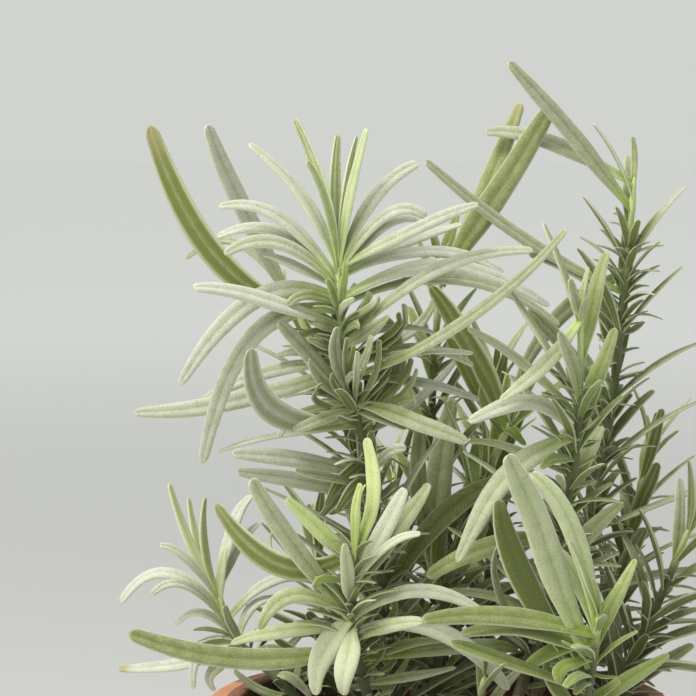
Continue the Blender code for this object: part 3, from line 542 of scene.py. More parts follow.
# Each row is the height of a leaf's root on the stem, then its middle (x, height) and its tip
# (x, height) as seen on the front plane, how far the middle and the tip lie behind the root, its
# width, and how far its upper face is turned: 0 faces the eye, 90 faces up, 180 faces away.
LEAVES = {
    "shoot_middle": [
        (205, -27.5, 222, -34.4, 239.6, 1, 2, 3.6, 130),
        (204, -26.8, 218.5, -31.6, 229.4, -2, -4, 3, 55),
        (205, -25.2, 220, -24.1, 235.5, 3, 6, 3.4, 140),
        (204, -21.8, 219.5, -17.7, 237.1, -1, -1, 3.4, 50),
        (203, -22.7, 222, -19.8, 235.2, 3, 7, 3, 120),
        (203, -31.5, 219.5, -45.2, 233.6, 3, 7, 4.2, 50),
        (204, -15.2, 221.5, -5.2, 228.8, 1, 3, 4.4, 45),
        (203, -13, 216.5, -3.3, 216.1, -3, -5, 3.8, 50),
        (201, -14.5, 213.3, -5, 215.2, 2, 5, 3.4, 55),
        (201, -38, 216, -52.5, 218.8, 2, 3, 4.2, 48),
        (200, -39, 212.7, -53, 211.4, 5, 8, 4, 48),
        (199, -38, 210.1, -51.2, 207.1, -3, -5, 4.4, 45),
        (199, -35, 205, -42, 207, 4, 6, 3.2, 50),
        (196.5, -44, 196.8, -62, 176, -4, -8, 5, 25),
        (190, -43, 197, -58.6, 199.4, -8, -14, 4.8, 42),
        (194, -44.5, 187.5, -57, 157.3, -3, -4, 5.2, 32),
        (201.5, -4, 208.2, 15, 203, 3, 4, 3.8, 50),
        (196.5, 1, 204.6, 26, 195, -3, -5, 4.8, 45),
        (195, 4, 201.4, 28.5, 190.5, 2, 3, 4.4, 60),
        (204, -6, 213.5, 9, 219, -6, -10, 4, 45),
        (203, -8, 210, 5, 214.5, 6, 10, 3.4, 60),
        (186, -1, 203.5, 22, 208.3, -8, -12, 4, 45),
        (178, 6, 191.5, 29.7, 213.2, -10, -15, 3.8, 48),
        (188, -27, 190.6, -31.6, 191.2, -3, -4, 3.4, 30),
        (172, -31, 183, -38.3, 191.4, -5, -9, 4.4, 30),
        (171, -27.5, 176.8, -31.3, 181.8, -4, -8, 3.2, 35),
        (180, -48, 172.5, -72.8, 169.7, 6, 8, 5, 25),
        (182, -43, 178.6, -57, 172.3, 10, 14, 4, 35),
        (168, -38.5, 169, -45, 184.8, -12, -32, 6.6, 160),
        (172, -7.5, 168.2, 6.5, 162.1, -8, -14, 4.8, 35),
        (170, -14, 168, -8, 165.5, -5, -9, 2.6, 45),
        (172, -28.5, 170.8, -36, 168.7, -4, -6, 2.8, 45),
        (170.5, -28, 168, -35, 165.4, -8, -13, 3.6, 38),
        (174, -22.2, 177.5, -18.4, 179.3, -5, -8, 2.2, 50),
        (154, -13, 159.3, -8, 160.8, -8, -12, 3, 40),
        (154, -35, 158.6, -49.5, 159.5, -6, -10, 4.8, 34),
        (150, -34.5, 153.2, -48.5, 155.5, -2, -4, 4.8, 34),
        (166, -40, 163.8, -53, 160, 4, 8, 2.6, 60),
        (152, -27, 154, -34.5, 155.7, -9, -14, 2.8, 45),
        (160, -22.5, 152, -28.5, 144.5, 3, 6, 4, 130),
        (152, -21.5, 148.2, -26.5, 145, 6, 9, 3.4, 130),
        (191.5, -23.5, 194.5, -20.3, 196.7, -4, -7, 2.2, 45),
        (185, -16.8, 189, -12.2, 192.9, -5, -8, 3.4, 30),
        (174, -18.4, 181, -16.3, 188, -6, -8, 2.6, 50),
        (173, -24.5, 182, -24.3, 190, -4, -6, 3.4, 30),
        (168, -10.5, 179, -12.6, 192.3, 5, 6, 4.4, 30),
        (164, -6, 172, 4, 182.5, 10, 12, 4, 60),
        (180, -7, 184, 7.9, 183.6, -4, -7, 2.6, 55),
        (186, -11, 190, -1, 188.3, 2, 3, 2.6, 55),
        (125, 1, 144.5, 16.5, 154.5, 4, 6, 5.8, 28),
    ],
    "shoot_front": [
        (135, -16, 150, -17.8, 163.3, -1, -1, 4, 35),
        (133, -20.3, 144, -19, 152.5, -3, -5, 2.8, 45),
        (124, -22, 130, -22.5, 138, -4, -6, 4, 35),
        (119.5, -35, 138, -45, 153.5, -3, -5, 5.4, 34),
        (133, -29, 141.3, -36.5, 149, 1, 2, 4.6, 30),
        (136, -38.5, 132.8, -53.5, 147.5, 3, 6, 6.2, 158),
        (120, -34.5, 125.5, -43, 117, -6, -10, 4.6, 36),
        (117, -37.5, 117, -50, 113.5, 4, 6, 4.6, 42),
        (113, -46, 110, -74.5, 116.5, 2, 6, 6, 28),
        (120, -27.6, 112, -29.5, 101, -3, -4, 6.4, 25),
        (118, -22.4, 109, -23, 101, -9, -10, 5.8, 25),
        (119.5, -6, 126.6, 11.8, 120.5, -3, -4, 4.4, 40),
        (116.5, -1, 117, 17, 102.5, -6, -6, 4.8, 34),
        (114.5, -11, 118.4, -4, 118.5, -8, -12, 4, 38),
        (108, -8, 113.5, 3, 114.5, 4, 6, 3.2, 48),
        (104, -8, 105.5, 4, 108, 3, 5, 3.4, 48),
        (127, -13, 142.5, -8, 151, -2, -3, 5, 34),
        (126, -9.5, 142, -2.8, 152.5, 3, 6, 4.8, 36),
        (127, -13, 137, -4.5, 140.3, -5, -8, 2.6, 50),
    ],
    "shoot_right": [
        (163.5, 22.5, 171.8, 6.8, 167.3, -4, -7, 4.8, 38),
        (192, 25, 181.5, 14.5, 172.3, -5, -9, 4.4, 38),
        (192, 32, 197, 31, 201.5, -2, -3, 3, 45),
        (172, 31.5, 181.5, 28.3, 188.8, -4, -6, 3.8, 35),
        (164, 17, 155, 4, 133.5, -6, -9, 6, 30),
        (138, 13, 137.8, -2.8, 129.5, -4, -6, 5.4, 32),
        (121, 13, 125.2, 1, 126.5, 2, 3, 3.4, 50),
        (112, 14, 127, 14.5, 138, -4, -5, 2.6, 50),
        (168, 20, 181.3, 6.5, 189.5, 12, 16, 3.8, 55),
        (154, 17, 161, 7, 162.5, 8, 12, 3, 55),
    ],
    "shoot_right_near": [
        (108, 24.5, 139.5, 16.5, 159.5, -4, -8, 7.2, 20),
        (118, 31, 143, 22, 155, 2, 4, 5.4, 30),
        (104, 19.5, 131, 14, 148.5, 3, 5, 6.4, 25),
        (116, 31, 132.5, 24, 137.5, 6, 9, 4.6, 40),
        (116, 15, 120.3, -4, 119.5, 6, 8, 5.4, 32),
        (111, 20, 117.3, 5, 116, 3, 4, 5, 38),
        (102, 14, 110.5, 3, 113.5, 4, 6, 4.4, 50),
        (98, 27.5, 104, 26.5, 110.8, 2, 3, 5, 50),
    ],
    "shoot_left_low": [
        (124, -59.5, 137.5, -64.5, 152.5, 2, 4, 3.6, 50),
        (125, -57.5, 136.5, -60, 149, 5, 8, 3, 50),
        (125, -56.2, 137.5, -56, 149, -3, -4, 3, 50),
        (122, -59.5, 133.5, -67, 137.3, -2, -3, 3.2, 50),
        (120, -65, 131, -76.5, 123.5, 1, 2, 4, 45),
        (118, -61, 128, -69, 125.3, -4, -6, 3, 50),
        (123, -52.6, 130, -51, 137, -1, -1, 3.2, 45),
        (119, -38, 129.8, -26, 126, 4, 8, 4, 50),
        (114, -45, 122.5, -38, 125, 3, 5, 3.4, 50),
        (116, -57.5, 121.3, -63.5, 118, 3, 5, 3, 50),
        (114, -57.5, 112, -59, 102.5, -2, -3, 3.2, 40),
        (113, -63, 108.8, -77, 107.5, 2, 4, 4.2, 45),
    ],
    "shoot_left_tall": [
        (194, -55, 209, -69, 237.6, 2, 4, 6.6, 164),
        (196, -46, 216.5, -55, 238.1, -3, -5, 5.4, 30),
        (195, -47.5, 209.8, -60.6, 206.2, 5, 8, 3.4, 55),
    ],
    "shoot_behind": [
        (200, 13, 221.5, 27, 243, 2, 4, 6.8, 24),
        (202, 10.5, 222, 18.7, 243.1, 6, 9, 5.4, 32),
    ],
    "shoot_right_tall": [
        (224, 26, 233.8, 10.6, 236.4, 2, 3, 4.8, 36),
        (218, 31, 235.8, 16.2, 253, -2, -3, 5, 34),
        (198, 20, 211.3, -3.6, 229.4, 1, 2, 4, 45),
        (194, 33, 202.5, 21, 207.5, -2, -3, 3.8, 55),
        (170, 29, 186, 21, 194.5, -8, -12, 4.4, 40),
        (203, 28, 192, 18, 176, 18, 24, 5, 30),
    ],
    "shoot_inner": [
        (166, 8, 184.5, -2.5, 199.5, 3, 5, 6.2, 152),
        (164, 7, 178.5, 2.5, 187.3, -3, -5, 4, 145),
        (124, -1, 149, 3.3, 172.9, 3, 6, 7.4, 18),
        (126, -4.5, 150, -4.5, 167, 6, 10, 5, 30),
        (128, -0.5, 136, 1, 144, -4, -6, 4.4, 50),
    ],
}

# Each row is the first and last height on the stem, the rise between pairs, the leaf length at the
# bottom and the top, the bearing of the first pair, and how many degrees round the front stay free.
PAIRS = {
    "shoot_middle": (98, 150, 9, 34, 30, 20, 150),
    "shoot_front": (96, 100, 8, 16, 14, 40, 150),
    "shoot_right": (112, 190, 8.5, 36, 26, 70, 170),
    "shoot_behind": (104, 203, 8, 34, 20, 30, 120),
    "shoot_left_low": (108, 112, 8, 24, 20, 90, 60),
    "shoot_right_near": (96, 121, 8, 26, 20, 60, 150),
    "shoot_left_tall": (104, 186, 8.5, 30, 26, 0, 120),
    "shoot_right_tall": (108, 226, 8, 40, 20, 10, 60),
    "shoot_inner": (100, 168, 8, 32, 24, 25, 120),
    "shoot_back_left": (98, 140, 7, 32, 18, 15, 0),
    "shoot_back_middle": (98, 156, 7.5, 34, 18, 50, 0),
    "shoot_back": (100, 175, 7.5, 38, 20, 35, 0),
    "shoot_back_right": (100, 160, 7.5, 36, 20, 5, 0),
    "shoot_right_low": (98, 142, 7, 34, 20, 25, 0),
    "shoot_front_low": (96, 106, 6, 20, 14, 35, 0),
}


def unit(v):
    """The direction of a vector, or of each of many."""
    return v / np.linalg.norm(v, axis=-1, keepdims=True)


def seen(x, height, depth):
    """The point at this depth that covers (x, height) on the front plane, seen from the eye."""
    reach = (depth - EYE[1]) / -EYE[1]
    return EYE + reach * (np.array([x, 0.0, height]) - EYE)


def bend(points, s):
    """The parabola through a root, a middle and a tip at the shares s, for one leaf or for many."""
    root, middle, tip = (points[..., k, None, :] for k in range(3))
    handle = 2 * middle - (root + tip) / 2
    s = np.asarray(s, float)[..., None]
    return (1 - s) ** 2 * root + 2 * s * (1 - s) * handle + s**2 * tip


def axes(points, up, s):
    """Directions along a leaf, sideways over it and out of its upper face, at the shares s."""
    root, middle, tip = (points[..., k, None, :] for k in range(3))
    handle = 2 * middle - (root + tip) / 2
    s = np.asarray(s, float)[..., None]
    along = unit((1 - s) * (handle - root) + s * (tip - handle))
    up = up[..., None, :]
    face = unit(up - (along * up).sum(-1, keepdims=True) * along)
    return along, np.cross(along, face), face


def stem_path(name):
    """Points up a stem on smooth cubics through its marks, and the heights that they are seen at."""
    (x, y), marks = STEMS[name]
    straight = [(x, y, SOIL_HEIGHT - HOLE_DEPTH + HOLE_GAP), (x, y, SOIL_HEIGHT + STEM_FOOT)]
    knots = np.array(straight + [seen(*mark) for mark in marks])
    slopes = np.gradient(knots, axis=0)
    slopes[0] = slopes[1] = (0.0, 0.0, HOLE_DEPTH * STEM_UPRIGHT)
    s = np.linspace(0, 1, STEM_SAMPLES, endpoint=False)[:, None]
    dense = [(1 + 2 * s) * (1 - s) ** 2 * a + s * (1 - s) ** 2 * slope_a
             + s**2 * (3 - 2 * s) * b + s**2 * (s - 1) * slope_b
             for a, b, slope_a, slope_b in zip(knots[:-1], knots[1:], slopes[:-1], slopes[1:])]
    dense = np.vstack(dense + [knots[-1:]])
    return dense, EYE[2] + (dense[:, 2] - EYE[2]) * -EYE[1] / (dense[:, 1] - EYE[1])


def on_stem(stem, height):
    """The point of a stem seen at this height, and the stem's direction there."""
    dense, heights = stem
    below, here, above = (np.array([np.interp(h, heights, dense[:, k]) for k in range(3)])
                          for h in (height - 1.0, height, height + 1.0))
    return here, unit(above - below)


def placed_leaf(stem, row, shift):
    """A leaf of LEAVES, its tip pushed back along the line of sight by a shift, its middle by half."""
    height, mid_x, mid_z, tip_x, tip_z, mid_back, tip_back, width, turn = row
    root, _ = on_stem(stem, height)
    middle = seen(mid_x, mid_z, root[1] + mid_back + shift / 2)
    tip = seen(tip_x, tip_z, root[1] + tip_back + shift)
    points = np.array([root, middle, tip])
    along = axes(points, np.array([0.0, 0.0, 1.0]), [0.5])[0][0]
    to_eye = EYE - middle
    to_eye = unit(to_eye - (to_eye @ along) * along)
    upward = np.cross(along, to_eye)
    if upward[2] < 0:
        upward = -upward
    angle = math.radians(turn)
    up = math.cos(angle) * to_eye + math.sin(angle) * upward
    return {"points": points, "up": up, "width": width, "height": height}


def rule_leaf(stem, height, bearing, length, spread, droop, width):
    """A leaf that leaves the stem at a bearing round it, and a spread away from the stem's direction."""
    root, rise = on_stem(stem, height)
    out = np.array([math.cos(math.radians(bearing)), math.sin(math.radians(bearing)), 0.0])
    out = unit(out - (out @ rise) * rise)
    angle = math.radians(spread)
    along = math.cos(angle) * rise + math.sin(angle) * out
    face = math.sin(angle) * rise - math.cos(angle) * out
    tip = root + length * along - 0.5 * droop * face
    middle = root + length * 0.5 * along + 0.5 * droop * face
    return {"points": np.array([root, middle, tip]), "up": face, "width": width, "height": height}


def lengths_of(line, side, face, halves):
    """Straight lengths between the points of a line, each with its own flat elliptic section."""
    return line[:-1], line[1:], side, face, np.tile(halves, (len(line) - 1, 1))


def lengths_of_leaf(leaf):
    """A leaf as straight lengths as wide as its blade."""
    s = np.linspace(0, 1, LEAF_STEPS + 1)
    _, side, face = axes(leaf["points"], leaf["up"], (s[:-1] + s[1:]) / 2)
    return lengths_of(bend(leaf["points"], s), side, face, [leaf["width"] / 2, BLADE_KEEL])


def lengths_of_stem(stem):
    """A stem as straight round lengths."""
    line = stem[0][::STEM_STRIDE]
    side, face = (np.tile(way, (len(line) - 1, 1)) for way in ([1.0, 0.0, 0.0], [0.0, 1.0, 0.0]))
    return lengths_of(line, side, face, [STEM_BASE_RADIUS, STEM_BASE_RADIUS])


def clear_of(new, old, margin):
    """Whether the nearest points of straight lengths stay apart by their sections and a margin.

    The shares s and t of the nearest points follow from the products of the two directions and the gap
    between their starts, each held between 0 and 1. A section's reach that way is the root of the sum
    of the squares of its two halves, each times its part of the way.
    """
    start, end, side, face, half = (part[:, None] for part in new)
    others = [part[None] for part in old]
    d1, d2, gap = end - start, others[1] - others[0], start - others[0]
    a, e, b = (d1 * d1).sum(-1), (d2 * d2).sum(-1), (d1 * d2).sum(-1)
    c, f = (d1 * gap).sum(-1), (d2 * gap).sum(-1)
    s = np.clip((b * f - c * e) / np.maximum(a * e - b * b, PARALLEL), 0, 1)
    t = np.clip((b * s + f) / e, 0, 1)
    s = np.clip((b * t - c) / a, 0, 1)
    apart = gap + s[..., None] * d1 - t[..., None] * d2
    distance = np.maximum(np.linalg.norm(apart, axis=-1), TOUCHING)
    way = apart / distance[..., None]
    reach = margin
    for across, normal, halves in ((side, face, half), (others[2], others[3], others[4])):
        wide = halves[..., 0] * (way * across).sum(-1)
        thick = halves[..., 1] * (way * normal).sum(-1)
        reach = reach + np.hypot(wide, thick)
    return bool((distance > reach).all())


def clears_the_pot(leaf):
    """Whether a leaf keeps off the pot's wall and rim and out of the compost."""
    line = bend(leaf["points"], np.linspace(POT_FREE_SHARE, 1, LEAF_STEPS))
    round_axis = np.hypot(line[:, 0], line[:, 1])
    reach = leaf["width"] / 2 + POT_MARGIN
    low = line[:, 2] < POT_HEIGHT + reach
    at_wall = (round_axis > POT_RIM - POT_WALL - reach) & (round_axis < POT_RIM + reach)
    in_soil = (line[:, 2] < SOIL_HEIGHT + reach + POT_MARGIN) & (round_axis < POT_RIM)
    return not (low & (at_wall | in_soil)).any()


stems = {name: stem_path(name) for name in STEMS}
leaves = {name: [] for name in STEMS}
grown = {"shoot": [], "step": [], "lengths": []}


def remember(name, lengths):
    """Keeps straight lengths for the leaves that come later to keep clear of."""
    grown["shoot"] += [name] * len(lengths[0])
    grown["step"] += range(len(lengths[0]))
    grown["lengths"].append(lengths)


def fits(leaf, name, margin, known):
    """Whether a leaf clears every other shoot, and its own shoot's leaves past their crowded roots."""
    shoots, steps, others = known
    new = lengths_of_leaf(leaf)
    middle = (new[0][0] + new[1][-1]) / 2
    reach = np.linalg.norm(new[1][-1] - new[0][0]) + NEARBY
    near = np.linalg.norm((others[0] + others[1]) / 2 - middle, axis=1) < reach
    own = shoots == name
    foreign = [part[near & ~own] for part in others]
    kin = [part[near & own & (steps >= CROWDED_STEPS)] for part in others]
    return clear_of(new, foreign, margin) and clear_of([part[CROWDED_STEPS:] for part in new], kin, margin)


def try_to_grow(name, candidates, margin=LEAF_MARGIN):
    """Keeps the first of some candidate leaves that has room."""
    known = (np.array(grown["shoot"]), np.array(grown["step"]),
             [np.concatenate(parts) for parts in zip(*grown["lengths"])])
    for leaf in candidates:
        if clears_the_pot(leaf) and fits(leaf, name, margin, known):
            leaves[name].append(leaf)
            remember(name, lengths_of_leaf(leaf))
            return


def pairs_of(name):
    """The number of each of a shoot's pairs, and its share of the way from the lowest to the top one."""
    low, high, rise = PAIRS[name][:3]
    count = int((high - low) / rise) + 1
    return [(pair, pair / max(count - 1, 1)) for pair in range(count)]


def grow_pairs(name, draw):
    """The long leaves in pairs, but for those that would hide what is seen in front."""
    low, _, rise, long, short, bearing, free = PAIRS[name]
    for pair, share in pairs_of(name):
        height = low + pair * rise
        for half in (0, 180):
            way = bearing + 90 * pair + half + draw.uniform(-BEARING_DRAW, BEARING_DRAW)
            if abs((way - FRONT + 180) % 360 - 180) < free / 2:
                continue
            length = (long + (short - long) * share) * draw.uniform(*LENGTH_DRAW)
            spread = SPREAD_LOW + (SPREAD_TOP - SPREAD_LOW) * share
            spread += draw.uniform(-SPREAD_DRAW, SPREAD_DRAW)
            droop = length * draw.uniform(*DROOP_DRAW)
            width = length * WIDTH_OF_LENGTH + PAIR_WIDTH
            try_to_grow(name, (rule_leaf(stems[name], height, way + turn, length, spread - up, droop, width)
                               for up in RAISES_TRIED for turn in TURNS_TRIED))


for name, stem in stems.items():
    remember(name, lengths_of_stem(stem))
for name, rows in LEAVES.items():
    for row in rows:
        try_to_grow(name, (placed_leaf(stems[name], row, shift) for shift in SHIFTS_TRIED))
for name in PAIRS:
    grow_pairs(name, random.Random(name))


# The small leaves. In the corner between each leaf and the stem a bud has opened into a tuft of short
# soft leaves, more pairs crowd between the long ones, and each shoot ends in a few just unfolding.
SMALL_MARGIN = 0.12
SLENDER = 0.13
BARE_TOP = 12.0
BELOW_TOP = 0.5

# Pairs half-way between the long ones: their turn from those, their length against theirs, how much
# steeper they stand, and what is drawn for each.
BETWEEN_TURN = 45.0
BETWEEN_TURN_DRAW = 20.0
BETWEEN_LENGTH = 0.6
BETWEEN_LENGTH_DRAW = (0.7, 1.15)
BETWEEN_STEEPER = 6.0
BETWEEN_SPREAD_DRAW = 12.0
BETWEEN_DROOP = 0.1
BETWEEN_WIDTH = 0.5

# Tufts: the least width of a leaf that has one, the turns of its leaves from that leaf's bearing, their
# lengths as shares of its length up to a limit, how far above it they leave the stem, and their spread.
TUFT_FROM_WIDTH = 2.4
TUFT_TURNS = (-66, -44, -24, -8, 8, 24, 44, 66)
TUFT_SHARES = (0.16, 0.5)
TUFT_LIMIT = 34.0
TUFT_LIFTS = (0.3, 3.0)
TUFT_SPREADS = (14, 74)
TUFT_SLIPS = (0, 9, -9, 18, -18)
TUFT_DROOP = 0.14
TUFT_WIDTH = 0.9

# The cover: where up the stem it starts, its rise and turn from leaf to leaf, and what is drawn.
COVER_FROM = 8.0
COVER_RISE = 1.7
COVER_TURN = 137.5
COVER_TURN_DRAW = 30.0
COVER_LENGTHS = (5.0, 12.0)
COVER_SPREADS = (24, 96)
COVER_DROOPS = (-0.1, 0.25)
COVER_WIDTH = 1.1

# The buds: each is a quarter turn round from the last, a little lower, and spread a little wider.
BUD_LEAVES = 7
BUD_LENGTH = 7.0
BUD_LENGTH_DRAW = (0.6, 1.3)
BUD_TURN_DRAW = 20.0
BUD_DROP = 0.5
BUD_SPREAD = 8.0
BUD_WIDER = 5.0
BUD_DROOP = 0.12
BUD_WIDTH = 0.8

# Small leaves that stand out in view, in rows like those of LEAVES.
SMALL_LEAVES = {
    "shoot_middle": [
        (188, -20.6, 190.6, -19.4, 189.3, -5, -7, 2.4, 30),
        (176, -22.5, 181.5, -22, 187.5, -3, -4, 1.9, 30),
        (158, -22.4, 154.5, -27.4, 146.6, -4, -6, 3.4, 150),
        (154, -20.8, 151, -24.8, 145.6, -6, -8, 3.4, 150),
        (173, -21.3, 179, -20.3, 185.5, -2, -3, 1.9, 30),
        (192, -25.2, 197.2, -26.8, 201.5, -3, -4, 2.2, 35),
        (193, -23.1, 199.2, -22.4, 205.5, -3, -4, 2.2, 35),
        (191, -22.2, 195.8, -20.4, 200.5, -3, -4, 2.2, 35),
        (186, -19.5, 192, -17.6, 196.5, 1, 2, 2, 45),
        (188, -18.6, 194.5, -16.2, 197.8, -1, -2, 2.3, 40),
        (187, -17.5, 192.5, -14.6, 197.3, -2, -3, 2.4, 35),
        (180, -10.2, 188, -8.8, 195.5, 3, 4, 2.3, 45),
        (182, -11, 189, -10.4, 193, 0, 0, 2.4, 40),
        (172, -21.6, 178, -20.8, 183.2, -2, -3, 1.6, 45),
        (171, -20.3, 175.5, -20.6, 181, -1, -2, 1.5, 45),
        (171, -15.6, 178.5, -13.2, 185.5, 0, 1, 1.8, 45),
        (171, -14.5, 178.3, -11.8, 181.2, 1, 2, 1.8, 45),
        (170, -14.4, 176, -12.2, 178.4, -1, -2, 1.9, 45),
        (184, -28, 186, -31.5, 186.8, -3, -5, 2.8, 40),
        (182, -27.5, 184.5, -30.3, 184, -4, -6, 2.6, 40),
        (179, -26.5, 181.5, -29, 181.8, -3, -5, 2.4, 40),
        (170, -15.5, 179, -14.5, 187, -2, -3, 2, 35),
        (168, -13.5, 177, -12, 184, 1, 2, 1.9, 35),
        (171, -20, 178, -19.5, 184, -3, -5, 1.9, 35),
        (169, -17.5, 176, -18.3, 181.5, 2, 3, 1.8, 35),
        (190, -18.5, 194, -17, 198.5, -3, -4, 2.2, 35),
        (191, -16.5, 195, -14.9, 197.4, -5, -7, 2, 35),
        (171, -26, 176, -26.8, 179.3, -4, -6, 2, 35),
        (171, -25, 175.5, -25.5, 179, -5, -7, 1.9, 35),
        (170, -29.5, 172, -28, 176.5, -6, -9, 2.3, 35),
        (166, -32, 169, -38.3, 163.5, -4, -8, 2.2, 35),
        (178, -3.5, 176.5, 9.5, 172.5, 3, 6, 2.8, 35),
        (181, -6, 185, 8, 180.7, -1, -3, 2.6, 35),
        (168, -10, 176, -7, 182.5, 3, 4, 2.3, 35),
        (168, -9, 174, -5.5, 180, 0, -1, 1.9, 35),
        (167, -8.5, 172.5, -6.3, 171.2, -6, -9, 2.3, 35),
        (184, -8, 188, -1.5, 197, 6, 10, 2.8, 35),
        (184, -8, 186.5, 0, 190, 8, 12, 2.8, 35),
        (195, -31, 197.5, -36.5, 195, -5, -8, 2.8, 35),
        (196, -30, 199, -34, 196, 3, 5, 2.3, 35),
        (187, -30, 189, -34.5, 186.5, -4, -6, 2.3, 35),
        (184, -31, 185, -39, 183, -2, -4, 2.8, 35),
    ],
    "shoot_front": [
        (134, -37, 133.5, -40, 141, 2, 4, 2.8, 120),
        (128, -27.5, 129.5, -30, 127, -4, -6, 2.4, 35),
        (106, -14, 111, -14.3, 114, 0, 1, 1.8, 35),
        (110, 8, 113, 19, 112, 8, 12, 4.1, 35),
        (106, -12, 108, -11, 112, 3, 4, 1.9, 35),
        (112, -12, 119, -11, 126, 3, 4, 2.2, 35),
    ],
    "shoot_inner": [
        (165, 17.5, 165, 20.5, 161.5, -3, -5, 3.1, 35),
        (166, 11.2, 171, 9.8, 175.8, -4, -5, 2.8, 35),
        (108, -3, 116, -3, 124, -3, -5, 2.8, 35),
        (104, -5, 110, -7, 118, -2, -3, 2.6, 35),
    ],
    "shoot_right": [
        (158, 28, 158.5, 24, 156, -4, -7, 3.1, 35),
    ],
    "shoot_left_low": [
        (126, -49, 136, -43, 143, 8, 12, 3.1, 35),
        (126, -50, 141, -45, 149.5, 6, 10, 3.8, 35),
        (112, -54.5, 107, -54, 102, -3, -5, 3.6, 35),
        (110, -39.5, 112.5, -31.5, 110.5, 0, 1, 3.2, 40),
        (108, -36, 108.5, -29, 105, 2, 4, 3.2, 40),
        (106, -35.5, 105.5, -31, 100.5, -3, -6, 3.2, 40),
        (107, -37, 112, -33, 116, 4, 7, 3, 45),
        (101, -43, 102.5, -49.5, 107.5, 3, 6, 2.8, 40),
        (102, -34.5, 105, -33.5, 111, 2, 4, 2.6, 45),
        (103, -32.5, 105.5, -28.5, 108.5, 3, 5, 2.8, 45),
        (101, -37.5, 104, -39.5, 110, 5, 8, 2.6, 45),
    ],
    "shoot_right_near": [
        (114, 27, 112, 20, 107, 6, 9, 4.4, 35),
        (110, 30, 108, 29, 104, -3, -5, 3.8, 35),
    ],
}


def smooth(x):
    """Zero below 0, one above 1, and 3x² - 2x³ between."""
    x = np.clip(x, 0, 1)
    return x * x * (3 - 2 * x)


def bearing_of(leaf):
    """The way a leaf points round the stem, in degrees."""
    out = leaf["points"][1] - leaf["points"][0]
    return math.degrees(math.atan2(out[1], out[0]))


def grow_between(name, draw):
    """Shorter pairs half-way between the long ones."""
    low, _, rise, long, short, bearing, _ = PAIRS[name]
    for pair, share in pairs_of(name):
        height = min(low + (pair + 0.5) * rise, stems[name][1][-1] - BELOW_TOP)
        for half in (0, 180):
            way = bearing + BETWEEN_TURN + 90 * pair + half
            way += draw.uniform(-BETWEEN_TURN_DRAW, BETWEEN_TURN_DRAW)
            length = BETWEEN_LENGTH * (long + (short - long) * share) * draw.uniform(*BETWEEN_LENGTH_DRAW)
            spread = SPREAD_LOW - BETWEEN_STEEPER + (SPREAD_TOP - SPREAD_LOW) * share
            spread += draw.uniform(-BETWEEN_SPREAD_DRAW, BETWEEN_SPREAD_DRAW)
            droop, width = length * BETWEEN_DROOP, length * WIDTH_OF_LENGTH + BETWEEN_WIDTH
            try_to_grow(name, (rule_leaf(stems[name], height, way + turn, length, spread, droop, width)
                               for turn in TURNS_TRIED), SMALL_MARGIN)


def grow_tufts(name, draw):
    """A tuft of short leaves in the corner between each longer leaf and the stem."""
    top = stems[name][1][-1]
    for parent in [leaf for leaf in leaves[name]
                   if leaf["width"] > TUFT_FROM_WIDTH and leaf["height"] < top - BARE_TOP]:
        reach = np.linalg.norm(parent["points"][2] - parent["points"][0])
        for turn in TUFT_TURNS:
            length = min(reach, TUFT_LIMIT) * draw.uniform(*TUFT_SHARES)
            spread, height = draw.uniform(*TUFT_SPREADS), parent["height"] + draw.uniform(*TUFT_LIFTS)
            way = bearing_of(parent) + turn
            droop, width = length * TUFT_DROOP, length * SLENDER + TUFT_WIDTH
            try_to_grow(name, (rule_leaf(stems[name], height, way + slip, length, spread, droop, width)
                               for slip in TUFT_SLIPS), SMALL_MARGIN)


def grow_cover(name, draw):
    """Short leaves all the way up the stem, for which the droop is drawn again at each slip tried."""
    tall = stems[name][1][-1] - SOIL_HEIGHT - COVER_FROM - BARE_TOP
    for k in range(int(tall / COVER_RISE)):
        height = SOIL_HEIGHT + COVER_FROM + COVER_RISE * k
        length = draw.uniform(*COVER_LENGTHS)
        way = COVER_TURN * k + draw.uniform(-COVER_TURN_DRAW, COVER_TURN_DRAW)
        spread = draw.uniform(*COVER_SPREADS)
        width = length * SLENDER + COVER_WIDTH
        try_to_grow(name, (rule_leaf(stems[name], height, way + slip, length, spread,
                                     length * draw.uniform(*COVER_DROOPS), width)
                           for slip in TUFT_SLIPS), SMALL_MARGIN)


def grow_buds(name, draw):
    """The leaves just unfolding at the top."""
    for k in range(BUD_LEAVES):
        length = BUD_LENGTH * draw.uniform(*BUD_LENGTH_DRAW)
        height = stems[name][1][-1] - BUD_DROP - BUD_DROP * k
        way = 90 * k + draw.uniform(-BUD_TURN_DRAW, BUD_TURN_DRAW)
        bud = rule_leaf(stems[name], height, way, length, BUD_SPREAD + BUD_WIDER * k, length * BUD_DROOP,
                        length * SLENDER + BUD_WIDTH)
        try_to_grow(name, [bud], SMALL_MARGIN)


for name, rows in SMALL_LEAVES.items():
    for row in rows:
        try_to_grow(name, (placed_leaf(stems[name], row, shift) for shift in SHIFTS_TRIED), SMALL_MARGIN)
for name in PAIRS:
    grow_between(name, random.Random("between the pairs of " + name))
for name in STEMS:
    draw = random.Random("tufts of " + name)
    grow_tufts(name, draw)
    grow_cover(name, draw)
    grow_buds(name, draw)


